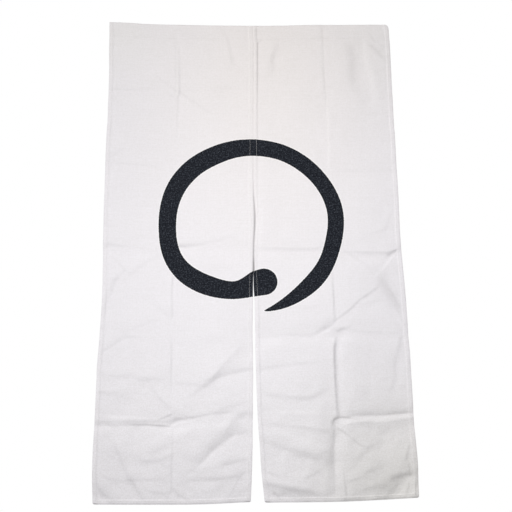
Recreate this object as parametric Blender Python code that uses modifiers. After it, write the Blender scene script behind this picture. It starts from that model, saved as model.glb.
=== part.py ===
"""Split doorway curtain: two hemmed cotton panels joined at the top of the middle, with a folded rod pocket.

The curtain hangs in the X-Z plane with its front facing -Y. The origin is the middle of the top edge, on the
crest of the pocket's fold. Units are metres.
"""

import math
from typing import NamedTuple, Sequence

import bpy

# Driving dimensions.
CLOTH_LENGTH = 1.500
CLOTH_THICKNESS = 0.0012
HEM_THICKNESS = 0.0024
HEM_WIDTH = 0.012
HEM_STEP = 0.002
POCKET_HEIGHT = 0.050
POCKET_DEPTH = 0.014
POCKET_TAIL = 0.003
POCKET_SHOULDER = 0.50
LAYER_GAP = 0.0005
SEAM_GAP = 0.0008
TUCK_WIDTH = 0.030

# Mesh resolution.
ARC_STEPS = 6
BACK_STEPS = 4
COLUMN_SPACING = 0.029
ROW_SPACING = 0.032

COLLECTION_NAME = "noren_curtain"
COTTON_COLOUR = (0.86, 0.84, 0.83, 1.0)
COTTON_ROUGHNESS = 0.9

POCKET_RADIUS = POCKET_DEPTH / 2


class Level(NamedTuple):
    """One height of the curtain: the depth below the top edge and where the edges stand there.

    The slit is how far the right panel's inner edge stands from the joint, and the tuck is how far it stands behind
    the left panel's edge.
    """

    drop: float
    left_edge: float
    joint: float
    slit: float
    tuck: float
    right_edge: float


LEVELS = (
    Level(drop=0.000, left_edge=-0.452, joint=0.0128, slit=0.0000, tuck=0.0000, right_edge=0.4460),
    Level(drop=0.075, left_edge=-0.449, joint=0.0128, slit=0.0000, tuck=0.0000, right_edge=0.4510),
    Level(drop=0.200, left_edge=-0.446, joint=0.0126, slit=0.0000, tuck=0.0000, right_edge=0.4530),
    Level(drop=0.450, left_edge=-0.448, joint=0.0122, slit=0.0000, tuck=0.0000, right_edge=0.4580),
    Level(drop=0.560, left_edge=-0.448, joint=0.0120, slit=0.0000, tuck=0.0030, right_edge=0.4600),
    Level(drop=0.670, left_edge=-0.447, joint=0.0122, slit=0.0000, tuck=0.0060, right_edge=0.4620),
    Level(drop=0.730, left_edge=-0.446, joint=0.0124, slit=0.0000, tuck=0.0030, right_edge=0.4630),
    Level(drop=0.800, left_edge=-0.444, joint=0.0120, slit=0.0000, tuck=0.0020, right_edge=0.4655),
    Level(drop=0.870, left_edge=-0.442, joint=0.0115, slit=0.0045, tuck=0.0010, right_edge=0.4690),
    Level(drop=0.980, left_edge=-0.445, joint=0.0095, slit=0.0080, tuck=0.0000, right_edge=0.4720),
    Level(drop=1.125, left_edge=-0.450, joint=0.0105, slit=0.0100, tuck=0.0000, right_edge=0.4785),
    Level(drop=1.265, left_edge=-0.452, joint=0.0105, slit=0.0155, tuck=0.0000, right_edge=0.4810),
    Level(drop=1.400, left_edge=-0.453, joint=0.0085, slit=0.0265, tuck=0.0000, right_edge=0.4870),
    Level(drop=1.500, left_edge=-0.449, joint=0.0050, slit=0.0400, tuck=0.0000, right_edge=0.4865),
)


class EdgePoint(NamedTuple):
    """A place along the top or bottom edge and how far the edge stands above its straight line there."""

    x: float
    rise: float


TOP_EDGE = (
    EdgePoint(x=-0.450, rise=0.0050),
    EdgePoint(x=-0.270, rise=0.0025),
    EdgePoint(x=0.000, rise=0.0000),
    EdgePoint(x=0.260, rise=0.0040),
    EdgePoint(x=0.450, rise=0.0045),
)
LEFT_BOTTOM_EDGE = (
    EdgePoint(x=-0.450, rise=0.0000),
    EdgePoint(x=-0.360, rise=-0.0025),
    EdgePoint(x=-0.140, rise=0.0000),
    EdgePoint(x=0.000, rise=0.0065),
)
RIGHT_BOTTOM_EDGE = (
    EdgePoint(x=0.045, rise=0.0060),
    EdgePoint(x=0.270, rise=0.0080),
    EdgePoint(x=0.485, rise=0.0195),
)


class Fold(NamedTuple):
    """A soft trough in the cloth between two places. A negative depth is a ridge that stands forward."""

    x0: float
    drop0: float
    depth0: float
    x1: float
    drop1: float
    depth1: float
    width: float


PRESSED_FOLDS = (
    # down the middle of each panel
    Fold(x0=-0.238, drop0=0.05, depth0=0.001, x1=-0.226, drop1=1.50, depth1=0.003, width=0.030),
    Fold(x0=0.242, drop0=0.05, depth0=-0.001, x1=0.247, drop1=1.00, depth1=0.003, width=0.030),
    Fold(x0=0.247, drop0=1.00, depth0=0.005, x1=0.244, drop1=1.40, depth1=0.005, width=0.026),
    # across the curtain, from the top down
    Fold(x0=-0.445, drop0=0.235, depth0=0.002, x1=0.00, drop1=0.230, depth1=0.001, width=0.030),
    Fold(x0=0.02, drop0=0.235, depth0=0.001, x1=0.45, drop1=0.250, depth1=0.001, width=0.030),
    Fold(x0=-0.445, drop0=0.480, depth0=0.002, x1=0.45, drop1=0.500, depth1=0.001, width=0.030),
    Fold(x0=-0.445, drop0=0.745, depth0=0.002, x1=0.45, drop1=0.755, depth1=0.003, width=0.030),
    Fold(x0=-0.44, drop0=1.010, depth0=0.001, x1=0.00, drop1=1.000, depth1=0.001, width=0.030),
    Fold(x0=0.03, drop0=1.010, depth0=0.004, x1=0.46, drop1=1.000, depth1=0.002, width=0.030),
    Fold(x0=-0.445, drop0=1.262, depth0=0.005, x1=-0.23, drop1=1.280, depth1=0.006, width=0.030),
    Fold(x0=-0.225, drop0=1.258, depth0=0.005, x1=-0.02, drop1=1.236, depth1=0.002, width=0.030),
    Fold(x0=0.04, drop0=1.300, depth0=0.002, x1=0.24, drop1=1.280, depth1=0.003, width=0.035),
    Fold(x0=0.255, drop0=1.262, depth0=0.006, x1=0.47, drop1=1.243, depth1=0.009, width=0.030),
)
BROAD_WAVES = (
    # what the free cloth does on its way down
    Fold(x0=-0.340, drop0=0.70, depth0=0.000, x1=-0.360, drop1=1.50, depth1=0.009, width=0.095),
    Fold(x0=-0.120, drop0=0.85, depth0=0.000, x1=-0.100, drop1=1.50, depth1=-0.005, width=0.085),
    Fold(x0=0.140, drop0=0.75, depth0=0.000, x1=0.130, drop1=1.50, depth1=-0.006, width=0.090),
    Fold(x0=0.380, drop0=0.80, depth0=0.000, x1=0.410, drop1=1.50, depth1=0.012, width=0.100),
)
WRINKLES = (
    Fold(x0=-0.175, drop0=1.185, depth0=0.003, x1=0.00, drop1=1.050, depth1=0.007, width=0.030),
    Fold(x0=-0.185, drop0=1.395, depth0=0.006, x1=-0.030, drop1=1.290, depth1=0.006, width=0.028),
    Fold(x0=0.08, drop0=1.285, depth0=0.003, x1=0.165, drop1=1.375, depth1=0.004, width=0.036),
    Fold(x0=0.08, drop0=1.190, depth0=0.003, x1=0.210, drop1=1.180, depth1=0.004, width=0.025),
    Fold(x0=0.07, drop0=1.460, depth0=0.007, x1=0.190, drop1=1.480, depth1=0.005, width=0.026),
    Fold(x0=0.40, drop0=0.860, depth0=0.004, x1=0.450, drop1=0.960, depth1=0.006, width=0.030),
    Fold(x0=0.335, drop0=0.090, depth0=0.004, x1=0.345, drop1=0.200, depth1=0.003, width=0.024),
    Fold(x0=-0.38, drop0=1.330, depth0=0.003, x1=-0.33, drop1=1.460, depth1=0.004, width=0.030),
    Fold(x0=0.44, drop0=1.480, depth0=0.012, x1=0.500, drop1=1.420, depth1=0.010, width=0.060),
    Fold(x0=-0.46, drop0=1.500, depth0=0.010, x1=-0.43, drop1=1.500, depth1=0.004, width=0.040),
)


def clamp_unit(value: float) -> float:
    """Limit a value to the range 0 to 1."""
    return min(max(value, 0.0), 1.0)


def ease(value: float) -> float:
    """Smooth step from 0 to 1 over the unit range."""
    t = clamp_unit(value)
    return t * t * (3.0 - 2.0 * t)


def smooth_through(places: Sequence[float], values: Sequence[float], at: float) -> float:
    """Read a smooth curve that passes through every value at its place."""
    last = len(places) - 1
    if at <= places[0]:
        return values[0]
    if at >= places[last]:
        return values[last]
    i = max(k for k in range(last) if places[k] <= at)
    slopes = []
    for k in (i, i + 1):
        before = max(k - 1, 0)
        after = min(k + 1, last)
        slopes.append((values[after] - values[before]) / (places[after] - places[before]))
    span = places[i + 1] - places[i]
    t = (at - places[i]) / span
    start = values[i] * (1 + 2 * t) * (1 - t) ** 2 + slopes[0] * span * t * (1 - t) ** 2
    end = values[i + 1] * t * t * (3 - 2 * t) + slopes[1] * span * t * t * (t - 1)
    return start + end


def edge_rise(points: Sequence[EdgePoint], x: float) -> float:
    """Height of a wavy edge above its straight line."""
    return smooth_through([p.x for p in points], [p.rise for p in points], x)


def level_value(column: str, drop: float) -> float:
    """Read one column of the outline table at any depth below the top edge."""
    return smooth_through([row.drop for row in LEVELS], [getattr(row, column) for row in LEVELS], drop)


def fold_depth(fold: Fold, x: float, drop: float) -> float:
    """Depth that one fold adds at a place on the curtain."""
    run_x = fold.x1 - fold.x0
    run_drop = fold.drop1 - fold.drop0
    along = clamp_unit(
        ((x - fold.x0) * run_x + (drop - fold.drop0) * run_drop) / (run_x * run_x + run_drop * run_drop)
    )
    off = math.hypot(x - fold.x0 - along * run_x, drop - fold.drop0 - along * run_drop)
    depth = fold.depth0 + (fold.depth1 - fold.depth0) * along
    return depth * math.exp(-((off / fold.width) ** 2))


def relief(x: float, drop: float) -> float:
    """How far the cloth stands back from its plane. The pocket, held straight, keeps little of it."""
    total = sum(fold_depth(fold, x, drop) for fold in PRESSED_FOLDS + BROAD_WAVES + WRINKLES)
    return total * ease((drop - POCKET_HEIGHT / 2) / POCKET_HEIGHT)


def panel_columns(width: float) -> list[float]:
    """Places across a panel, as shares of its width: both hems, their steps and even spaces between."""
    inset = HEM_WIDTH + HEM_STEP
    count = round((width - 2 * inset) / COLUMN_SPACING)
    field = [inset + (width - 2 * inset) * k / count for k in range(count + 1)]
    places = [0.0, HEM_WIDTH] + field + [width - HEM_WIDTH, width]
    return [place / width for place in places]


def panel_rows() -> list[float]:
    """Travel along the cloth from the crest of the top fold: negative down the back, positive down the front."""
    quarter = POCKET_RADIUS * math.pi / 2
    back_length = POCKET_HEIGHT + POCKET_TAIL - POCKET_RADIUS
    back = [-quarter - back_length * (1 - k / BACK_STEPS) for k in range(BACK_STEPS)]
    arc = [quarter * (2 * k / ARC_STEPS - 1) for k in range(ARC_STEPS + 1)]
    inset = HEM_WIDTH + HEM_STEP
    front_length = CLOTH_LENGTH - POCKET_RADIUS - inset
    count = round(front_length / ROW_SPACING)
    front = [quarter + front_length * k / count for k in range(1, count + 1)]
    return back + arc + front + [quarter + front_length + HEM_STEP, quarter + front_length + inset]


def section_point(travel: float, sheet: float) -> tuple[float, float]:
    """Place on the side section of the curtain.

    Args:
        travel: distance along the cloth from the crest of the top fold.
        sheet: thickness of one layer there, which sets how close the pocket's back layer comes to the front one.

    Returns:
        How far behind the front plane and how far below the top edge the place is.
    """
    quarter = POCKET_RADIUS * math.pi / 2
    if travel >= quarter:
        return 0.0, POCKET_RADIUS + travel - quarter
    if travel > -quarter:
        angle = travel / POCKET_RADIUS
        return POCKET_RADIUS * (1 - math.sin(angle)), POCKET_RADIUS * (1 - math.cos(angle))
    drop = POCKET_RADIUS - travel - quarter
    closed = 2 * sheet + LAYER_GAP
    shoulder = POCKET_HEIGHT * POCKET_SHOULDER
    share = ease((drop - shoulder) / (POCKET_HEIGHT - shoulder))
    return POCKET_DEPTH + (closed - POCKET_DEPTH) * share, drop


def cloth_point(share: float, travel: float, is_left: bool, sheet: float) -> tuple[float, float, float]:
    """Place in space of a point of a panel's outer surface.

    Args:
        share: place across the panel, from 0 at its left edge to 1 at its right edge.
        travel: distance along the cloth from the crest of the top fold.
        is_left: whether it is the left panel.
        sheet: thickness of one layer there.

    Returns:
        The X, Y and Z of the point.
    """
    behind, drop = section_point(travel, sheet)
    joint = level_value("joint", drop)
    if is_left:
        start = level_value("left_edge", drop)
        end = joint - SEAM_GAP / 2
    else:
        start = joint + max(SEAM_GAP / 2, level_value("slit", drop))
        end = level_value("right_edge", drop)
        behind += level_value("tuck", drop) * (1 - ease((end - start) * share / TUCK_WIDTH))
    x = start + (end - start) * share
    bottom = edge_rise(LEFT_BOTTOM_EDGE if is_left else RIGHT_BOTTOM_EDGE, x)
    low = clamp_unit(drop / CLOTH_LENGTH)
    z = -drop + edge_rise(TOP_EDGE, x) * (1 - low) + bottom * low
    return x, behind - POCKET_RADIUS + relief(x, drop), z


def cotton_material(name: str) -> bpy.types.Material:
    """Plain matt cotton."""
    material = bpy.data.materials.new(name)
    material.use_nodes = True
    shader = material.node_tree.nodes["Principled BSDF"]
    shader.inputs["Base Color"].default_value = COTTON_COLOUR
    shader.inputs["Roughness"].default_value = COTTON_ROUGHNESS
    shader.inputs["Metallic"].default_value = 0.0
    return material


def build_panel(name: str, is_left: bool, collection: bpy.types.Collection) -> bpy.types.Object:
    """One panel: a grid laid over the section and folds, given its thickness, with thicker hems."""
    width = abs(level_value("joint", 0.0) - level_value("left_edge" if is_left else "right_edge", 0.0))
    columns = panel_columns(width)
    rows = panel_rows()
    bpy.ops.mesh.primitive_grid_add(x_subdivisions=len(columns) - 1, y_subdivisions=len(rows) - 1, size=2.0)
    panel = bpy.context.object
    panel.name = name
    panel.data.name = name
    hem = panel.vertex_groups.new(name="hem")
    for vertex in panel.data.vertices:
        column = round((vertex.co.x + 1) / 2 * (len(columns) - 1))
        row = round((vertex.co.y + 1) / 2 * (len(rows) - 1))
        in_hem = column <= 1 or column >= len(columns) - 2 or row >= len(rows) - 2
        if in_hem:
            hem.add([vertex.index], 1.0, "REPLACE")
        sheet = HEM_THICKNESS if in_hem else CLOTH_THICKNESS
        vertex.co = cloth_point(columns[column], rows[row], is_left, sheet)
    thickness = panel.modifiers.new("thickness", "SOLIDIFY")
    thickness.thickness = HEM_THICKNESS
    thickness.offset = -1.0
    thickness.vertex_group = hem.name
    thickness.thickness_vertex_group = CLOTH_THICKNESS / HEM_THICKNESS
    panel.data.materials.append(cotton_material(name + "_cotton"))
    for owner in list(panel.users_collection):
        owner.objects.unlink(panel)
    collection.objects.link(panel)
    return panel


def main() -> None:
    """Clear the scene and build both panels."""
    for old in list(bpy.data.objects):
        bpy.data.objects.remove(old, do_unlink=True)
    collection = bpy.data.collections.new(COLLECTION_NAME)
    bpy.context.scene.collection.children.link(collection)
    build_panel("left_panel", True, collection)
    build_panel("right_panel", False, collection)


main()
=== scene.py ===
"""Split doorway curtain: the looks of its cotton, hems, seam, thread and ring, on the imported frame.

The curtain hangs in the X-Z plane with its front facing -Y. The origin is the middle of its top edge.
A place on the curtain is given by x and by its drop below the top edge, and depth runs back from the
front, all in metres.
"""

import logging
import math
from dataclasses import dataclass, field
from enum import Enum, IntEnum
from typing import Callable, ClassVar, NamedTuple, Sequence

import bpy
import numpy as np
from mathutils import Euler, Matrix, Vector


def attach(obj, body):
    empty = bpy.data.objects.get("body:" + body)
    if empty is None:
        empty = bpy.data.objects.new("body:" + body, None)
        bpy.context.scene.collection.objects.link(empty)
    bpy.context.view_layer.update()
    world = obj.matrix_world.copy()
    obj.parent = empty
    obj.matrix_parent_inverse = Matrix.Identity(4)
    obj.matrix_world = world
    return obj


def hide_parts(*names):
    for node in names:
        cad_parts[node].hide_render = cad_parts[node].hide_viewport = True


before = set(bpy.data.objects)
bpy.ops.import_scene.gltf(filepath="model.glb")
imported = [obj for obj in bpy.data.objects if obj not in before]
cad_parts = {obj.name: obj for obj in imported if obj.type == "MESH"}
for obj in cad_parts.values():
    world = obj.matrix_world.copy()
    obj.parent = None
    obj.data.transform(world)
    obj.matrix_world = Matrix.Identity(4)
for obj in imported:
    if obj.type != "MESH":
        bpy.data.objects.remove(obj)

log = logging.getLogger("curtain")

# Driving sizes, as in the frame.
CLOTH_LENGTH = 1.500
HEM_WIDTH = 0.012
POCKET_HEIGHT = 0.050
POCKET_TAIL = 0.003
POCKET_DEPTH = 0.014
POCKET_SHOULDER = 0.50
TUCK_WIDTH = 0.030
SEAM_END = 0.46

# The real cloth, which is finer than the frame's.
CLOTH_THICKNESS = 0.00044
LAYER_PITCH = 0.00054
JOINT_GAP = 0.0003
TURNED_EDGE = 0.0095
CORNER_RADIUS = 0.005
STITCH_INSET = 0.0100
POCKET_RADIUS = POCKET_DEPTH / 2

# The brush starts a little right of six o'clock and goes round once.
STROKE_START = -0.19
FULL_TURN = 2 * math.pi

CURVE_PROBES = 4001
LATTICE_SIZE = 400
LATTICE_TURN = 0.35

Colour = tuple[float, float, float, float]
Place = tuple[float, float, float]
Span = tuple[float, float]


class Side(Enum):
    """The two halves of the curtain."""

    LEFT = "left"
    RIGHT = "right"


class Pattern(IntEnum):
    """Seeds of the repeatable noises and draws. The crinkle's sizes take one each, from its own on."""

    CRINKLE = 3
    STITCHES = 5
    OUTER_SWAY = 11
    SLIT_SWAY = 12
    SIDE_PUCKER = 17
    END_PUCKER = 18
    RING_RADIUS = 21
    RING_WIDTH = 22


@dataclass(frozen=True)
class Hem:
    """How a turned hem stands: its insets are distances in from the edge."""

    insets: tuple[float, ...] = (0.0025, 0.0055, 0.0085, 0.0112, 0.0124, 0.0136, 0.0165)
    end_insets: Span = (0.0030, 0.0015)
    stack_fade: float = 0.006
    swell: float = 0.0010
    swell_inset: float = 0.0112
    swell_fade: float = 0.0024
    end_curl: float = 0.0014
    end_curl_reach: float = 0.005
    side_curl: float = 0.0006
    side_curl_reach: float = 0.004
    pucker_fade: float = 0.02


HEM = Hem()


class Level(NamedTuple):
    """One drop of the outline: where the edges stand, and how far back the right panel's inner one lies."""

    drop: float
    left_edge: float
    joint: float
    slit: float
    tuck: float
    right_edge: float


# Each level: drop, left edge, joint, slit, tuck, right edge.
LEVELS = (
    Level(0.000, -0.4530, 0.0090, 0.0000, 0.0000, 0.4370),
    Level(0.010, -0.4525, 0.0090, 0.0000, 0.0000, 0.4455),
    Level(0.045, -0.4515, 0.0092, 0.0000, 0.0000, 0.4475),
    Level(0.062, -0.4508, 0.0116, 0.0000, 0.0000, 0.4487),
    Level(0.110, -0.4500, 0.0116, 0.0000, 0.0000, 0.4500),
    Level(0.200, -0.4468, 0.0114, 0.0000, 0.0000, 0.4512),
    Level(0.450, -0.4480, 0.0112, 0.0000, 0.0000, 0.4565),
    Level(0.560, -0.4480, 0.0112, 0.0000, 0.0030, 0.4585),
    Level(0.650, -0.4472, 0.0148, 0.0000, 0.0060, 0.4603),
    Level(0.730, -0.4460, 0.0120, 0.0000, 0.0030, 0.4613),
    Level(0.800, -0.4440, 0.0116, 0.0000, 0.0020, 0.4648),
    Level(0.838, -0.4430, 0.0112, 0.0010, 0.0020, 0.4670),
    Level(0.875, -0.4422, 0.0106, 0.0027, 0.0020, 0.4693),
    Level(0.912, -0.4424, 0.0102, 0.0055, 0.0010, 0.4708),
    Level(0.980, -0.4442, 0.0095, 0.0080, 0.0000, 0.4728),
    Level(1.125, -0.4500, 0.0105, 0.0100, 0.0000, 0.4787),
    Level(1.265, -0.4510, 0.0105, 0.0155, 0.0000, 0.4812),
    Level(1.400, -0.4525, 0.0085, 0.0265, 0.0000, 0.4888),
    Level(1.500, -0.4490, 0.0050, 0.0400, 0.0000, 0.4890),
)
# The level where a panel's finished width is measured.
WIDTH_LEVEL = LEVELS[9]


class EdgePoint(NamedTuple):
    """A place along the top or bottom edge, and how far the edge stands above its straight line there."""

    x: float
    rise: float


# Each edge point: x, rise.
TOP_EDGE = (
    EdgePoint(-0.450, 0.0130),
    EdgePoint(-0.400, 0.0110),
    EdgePoint(-0.330, 0.0065),
    EdgePoint(-0.220, 0.0040),
    EdgePoint(0.000, 0.0018),
    EdgePoint(0.260, 0.0057),
    EdgePoint(0.450, 0.0062),
)
BOTTOM_EDGE = {
    Side.LEFT: (
        EdgePoint(-0.450, -0.0020),
        EdgePoint(-0.360, -0.0025),
        EdgePoint(-0.140, -0.0018),
        EdgePoint(0.000, 0.0045),
    ),
    Side.RIGHT: (
        EdgePoint(0.045, 0.0030),
        EdgePoint(0.270, 0.0060),
        EdgePoint(0.485, 0.0170),
    ),
}


class Fold(NamedTuple):
    """A soft trough between two places of the frame's cloth. A negative depth is a ridge."""

    x0: float
    drop0: float
    depth0: float
    x1: float
    drop1: float
    depth1: float
    width: float


# Each fold: x, drop and depth at its start, the same at its end, and its width.
SOFT_FOLDS = (
    # pressed down the middle of each panel
    Fold(-0.238, 0.05, 0.001, -0.226, 1.50, 0.002, 0.030),
    Fold(0.247, 1.00, 0.003, 0.244, 1.40, 0.004, 0.030),
    # pressed across, from the top down
    Fold(-0.445, 0.235, 0.001, 0.00, 0.230, 0.001, 0.030),
    Fold(-0.445, 0.480, 0.001, 0.45, 0.500, 0.001, 0.030),
    Fold(-0.445, 0.745, 0.001, 0.45, 0.755, 0.002, 0.030),
    Fold(0.03, 1.010, 0.003, 0.46, 1.000, 0.001, 0.030),
    Fold(-0.445, 1.262, 0.002, -0.23, 1.280, 0.003, 0.030),
    Fold(-0.225, 1.258, 0.003, -0.02, 1.236, 0.001, 0.030),
    Fold(0.255, 1.262, 0.003, 0.47, 1.243, 0.005, 0.035),
    # what the free cloth does on its way down
    Fold(-0.340, 0.70, 0.000, -0.360, 1.50, 0.009, 0.095),
    Fold(-0.120, 0.85, 0.000, -0.100, 1.50, -0.005, 0.085),
    Fold(0.140, 0.75, 0.000, 0.130, 1.50, -0.006, 0.090),
    Fold(0.380, 0.80, 0.000, 0.410, 1.50, 0.012, 0.100),
    # the corners that turn back
    Fold(0.44, 1.480, 0.008, 0.500, 1.420, 0.007, 0.060),
    Fold(-0.46, 1.500, 0.008, -0.43, 1.500, 0.004, 0.040),
)


class Crease(NamedTuple):
    """One crease laid along a route of (x, drop, share) places.

    Across the route, from the left of the way along it to its right, the cloth steps back at the slope
    times the share. The step tails off over the left reach on one side and the right reach on the other,
    and the cloth comes slowly back over the fade on both. A negative slope steps forward. The painted
    shade is how much the crease line is darkened in colour: painted shade standing for the shadow in its
    fold.
    """

    slope: float
    left: float
    right: float
    painted_shade: float
    route: tuple[tuple[float, float, float], ...]
    fade: float = 0.035


# Each crease: slope, left reach, right reach, painted shade, its route of (x, drop, share) and, on some, its
# fade.
SEAM_CREASES = (
    Crease(0.60, 0.003, 0.002, 0.035, (
        (0.0235, 0.470, 0.0), (0.0235, 0.330, 0.2), (0.0237, 0.250, 0.4), (0.0240, 0.210, 0.8),
        (0.0245, 0.080, 0.9), (0.0245, 0.064, 0.8))),
    # This crease runs along the slit. Its large painted shade darkens the gap between the panels in place of
    # its shadow.
    Crease(0.70, 0.002, 0.0015, 0.230, (
        (0.0122, 0.815, 2.3), (0.0122, 0.790, 2.0), (0.0122, 0.765, 1.0), (0.0126, 0.730, 0.8),
        (0.0146, 0.690, 0.8), (0.0154, 0.640, 1.0), (0.0138, 0.600, 0.7), (0.0120, 0.560, 0.2))),
    Crease(0.35, 0.002, 0.002, 0.030, ((0.0190, 0.048, 0.8), (0.0190, 0.028, 1.0), (0.0190, 0.010, 0.7))),
    Crease(0.30, 0.002, 0.003, 0.030, ((0.0260, 0.062, 0.6), (0.036, 0.050, 0.5), (0.038, 0.042, 0.2))),
    Crease(0.25, 0.003, 0.004, 0.040, ((0.021, 0.006, 0.6), (0.030, 0.022, 1.0), (0.038, 0.040, 0.7))),
    Crease(0.30, 0.009, 0.009, 0.005, (
        (0.074, 0.183, 0.0), (0.070, 0.121, 1.0), (0.087, 0.070, 0.6), (0.087, 0.030, 0.0))),
)
TOP_LEFT_CREASES = (
    Crease(0.30, 0.002, 0.002, 0.012, ((-0.236, 0.228, 1.0), (-0.237, 0.090, 1.0), (-0.240, 0.012, 0.3))),
    Crease(0.45, 0.003, 0.004, 0.025, ((-0.223, 0.236, 1.2), (-0.225, 0.160, 0.8), (-0.228, 0.080, 0.5))),
    Crease(0.20, 0.006, 0.007, 0.045, (
        (-0.223, 0.231, 1.2), (-0.177, 0.264, 1.0), (-0.137, 0.296, 0.7), (-0.099, 0.312, 0.0))),
    Crease(0.35, 0.002, 0.003, 0.015, ((-0.230, 0.443, 0.3), (-0.228, 0.290, 0.8), (-0.228, 0.250, 1.0))),
    Crease(0.30, 0.002, 0.002, 0.030, ((-0.258, 0.240, 0.5), (-0.240, 0.247, 1.0), (-0.229, 0.262, 0.8))),
    Crease(0.15, 0.006, 0.004, 0.028, ((-0.309, 0.171, 0.0), (-0.290, 0.182, 0.7), (-0.233, 0.229, 1.0))),
    Crease(0.15, 0.005, 0.004, 0.012, ((-0.435, 0.221, 1.0), (-0.379, 0.224, 1.0), (-0.289, 0.219, 0.3))),
    Crease(0.09, 0.006, 0.008, 0.006, (
        (-0.215, 0.205, 0.0), (-0.163, 0.215, 1.0), (-0.078, 0.220, 1.0), (-0.030, 0.202, 0.4))),
    Crease(0.30, 0.003, 0.006, 0.022, ((-0.231, 0.008, 0.5), (-0.211, 0.034, 1.0), (-0.186, 0.050, 0.3))),
    Crease(0.35, 0.005, 0.008, 0.005, ((-0.058, 0.121, 1.0), (-0.072, 0.055, 0.8), (-0.084, 0.035, 0.4))),
    Crease(0.18, 0.004, 0.003, 0.010, ((-0.420, 0.469, 1.0), (-0.302, 0.480, 0.8), (-0.253, 0.497, 0.4))),
    Crease(0.20, 0.008, 0.003, 0.020, ((-0.431, 0.452, 0.5), (-0.405, 0.430, 1.0))),
    Crease(0.12, 0.003, 0.007, 0.004, ((-0.120, 0.500, 0.0), (-0.050, 0.497, 1.0), (-0.010, 0.496, 0.8))),
    Crease(0.25, 0.002, 0.003, 0.010, ((-0.017, 0.060, 0.3), (-0.014, 0.010, 1.0))),
)
TOP_RIGHT_CREASES = (
    Crease(0.30, 0.005, 0.002, 0.014, (
        (0.242, 0.293, 0.1), (0.238, 0.213, 1.0), (0.235, 0.120, 0.7), (0.233, 0.010, 0.8))),
    Crease(-0.35, 0.002, 0.002, 0.000, ((0.246, 0.483, 0.8), (0.246, 0.293, 1.0), (0.243, 0.240, 0.0))),
    Crease(0.12, 0.019, 0.017, 0.030, (
        (0.362, 0.290, 0.0), (0.350, 0.240, 0.4), (0.328, 0.201, 0.8), (0.325, 0.150, 1.0),
        (0.327, 0.111, 1.0), (0.321, 0.082, 0.8), (0.306, 0.052, 0.2))),
    Crease(0.12, 0.007, 0.007, 0.035, ((0.322, 0.004, 0.5), (0.328, 0.024, 1.0), (0.338, 0.052, 0.4))),
    Crease(-0.18, 0.012, 0.014, 0.000, ((0.394, 0.243, 0.6), (0.372, 0.120, 1.0), (0.365, 0.050, 0.4))),
    Crease(0.05, 0.006, 0.007, 0.095, ((0.381, 0.022, 0.3), (0.392, 0.043, 1.0), (0.402, 0.058, 0.7))),
    Crease(0.05, 0.012, 0.014, 0.105, (
        (0.381, 0.060, 0.4), (0.394, 0.073, 1.0), (0.410, 0.093, 1.0), (0.424, 0.109, 0.9),
        (0.437, 0.124, 0.2))),
    Crease(-0.30, 0.002, 0.003, 0.000, ((0.412, 0.058, 0.3), (0.424, 0.078, 1.0), (0.440, 0.099, 0.6))),
    Crease(0.20, 0.003, 0.003, 0.075, ((0.422, 0.066, 0.6), (0.429, 0.072, 1.0), (0.437, 0.074, 0.6))),
    Crease(0.05, 0.011, 0.012, 0.035, ((0.386, 0.120, 0.4), (0.396, 0.145, 1.0), (0.417, 0.190, 0.6))),
    Crease(0.08, 0.004, 0.006, 0.006, ((0.058, 0.240, 0.6), (0.199, 0.244, 1.0), (0.230, 0.246, 0.2))),
    Crease(0.06, 0.004, 0.004, 0.005, ((0.279, 0.293, 0.6), (0.427, 0.303, 1.0))),
    Crease(0.12, 0.003, 0.006, 0.006, ((0.280, 0.493, 1.0), (0.360, 0.492, 0.6), (0.453, 0.493, 1.0))),
)
MIDDLE_LEFT_CREASES = (
    Crease(0.20, 0.002, 0.009, 0.010, (
        (-0.436, 0.730, 1.0), (-0.385, 0.735, 0.9), (-0.367, 0.738, 0.3), (-0.288, 0.748, 0.2))),
    Crease(0.25, 0.002, 0.002, 0.030, ((-0.407, 0.780, 1.0), (-0.368, 0.820, 0.8))),
    Crease(0.15, 0.003, 0.012, 0.015, ((-0.380, 0.838, 0.7), (-0.328, 0.796, 1.0), (-0.274, 0.761, 0.6))),
    Crease(0.40, 0.006, 0.004, 0.020, ((-0.418, 0.888, 0.5), (-0.408, 0.846, 1.0), (-0.379, 0.815, 0.3))),
    Crease(0.31, 0.005, 0.003, 0.010, ((-0.438, 0.986, 0.6), (-0.431, 0.901, 1.0))),
    Crease(0.60, 0.004, 0.002, 0.030, ((-0.229, 0.952, 0.9), (-0.233, 0.905, 0.8), (-0.232, 0.843, 1.0))),
    Crease(0.14, 0.007, 0.001, 0.020, ((-0.292, 0.915, 0.5), (-0.243, 0.952, 1.0))),
    Crease(0.14, 0.010, 0.002, 0.015, ((-0.359, 1.000, 0.8), (-0.300, 0.973, 0.6))),
    Crease(0.22, 0.008, 0.004, 0.015, (
        (-0.431, 1.058, 0.8), (-0.394, 1.032, 1.0), (-0.369, 1.017, 0.8), (-0.324, 1.019, 0.3))),
    Crease(0.09, 0.006, 0.003, 0.008, ((-0.216, 1.000, 1.0), (-0.156, 0.983, 0.0))),
    Crease(0.45, 0.008, 0.003, 0.010, (
        (-0.214, 0.738, 1.0), (-0.190, 0.738, 1.0), (-0.160, 0.735, 0.5), (-0.092, 0.721, 0.4),
        (-0.041, 0.700, 0.1))),
    Crease(0.08, 0.008, 0.003, 0.008, ((-0.115, 0.798, 1.0), (-0.047, 0.808, 0.5))),
    Crease(0.07, 0.020, 0.010, 0.000, ((-0.209, 1.037, 0.8), (-0.089, 1.028, 0.6))),
)
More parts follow.
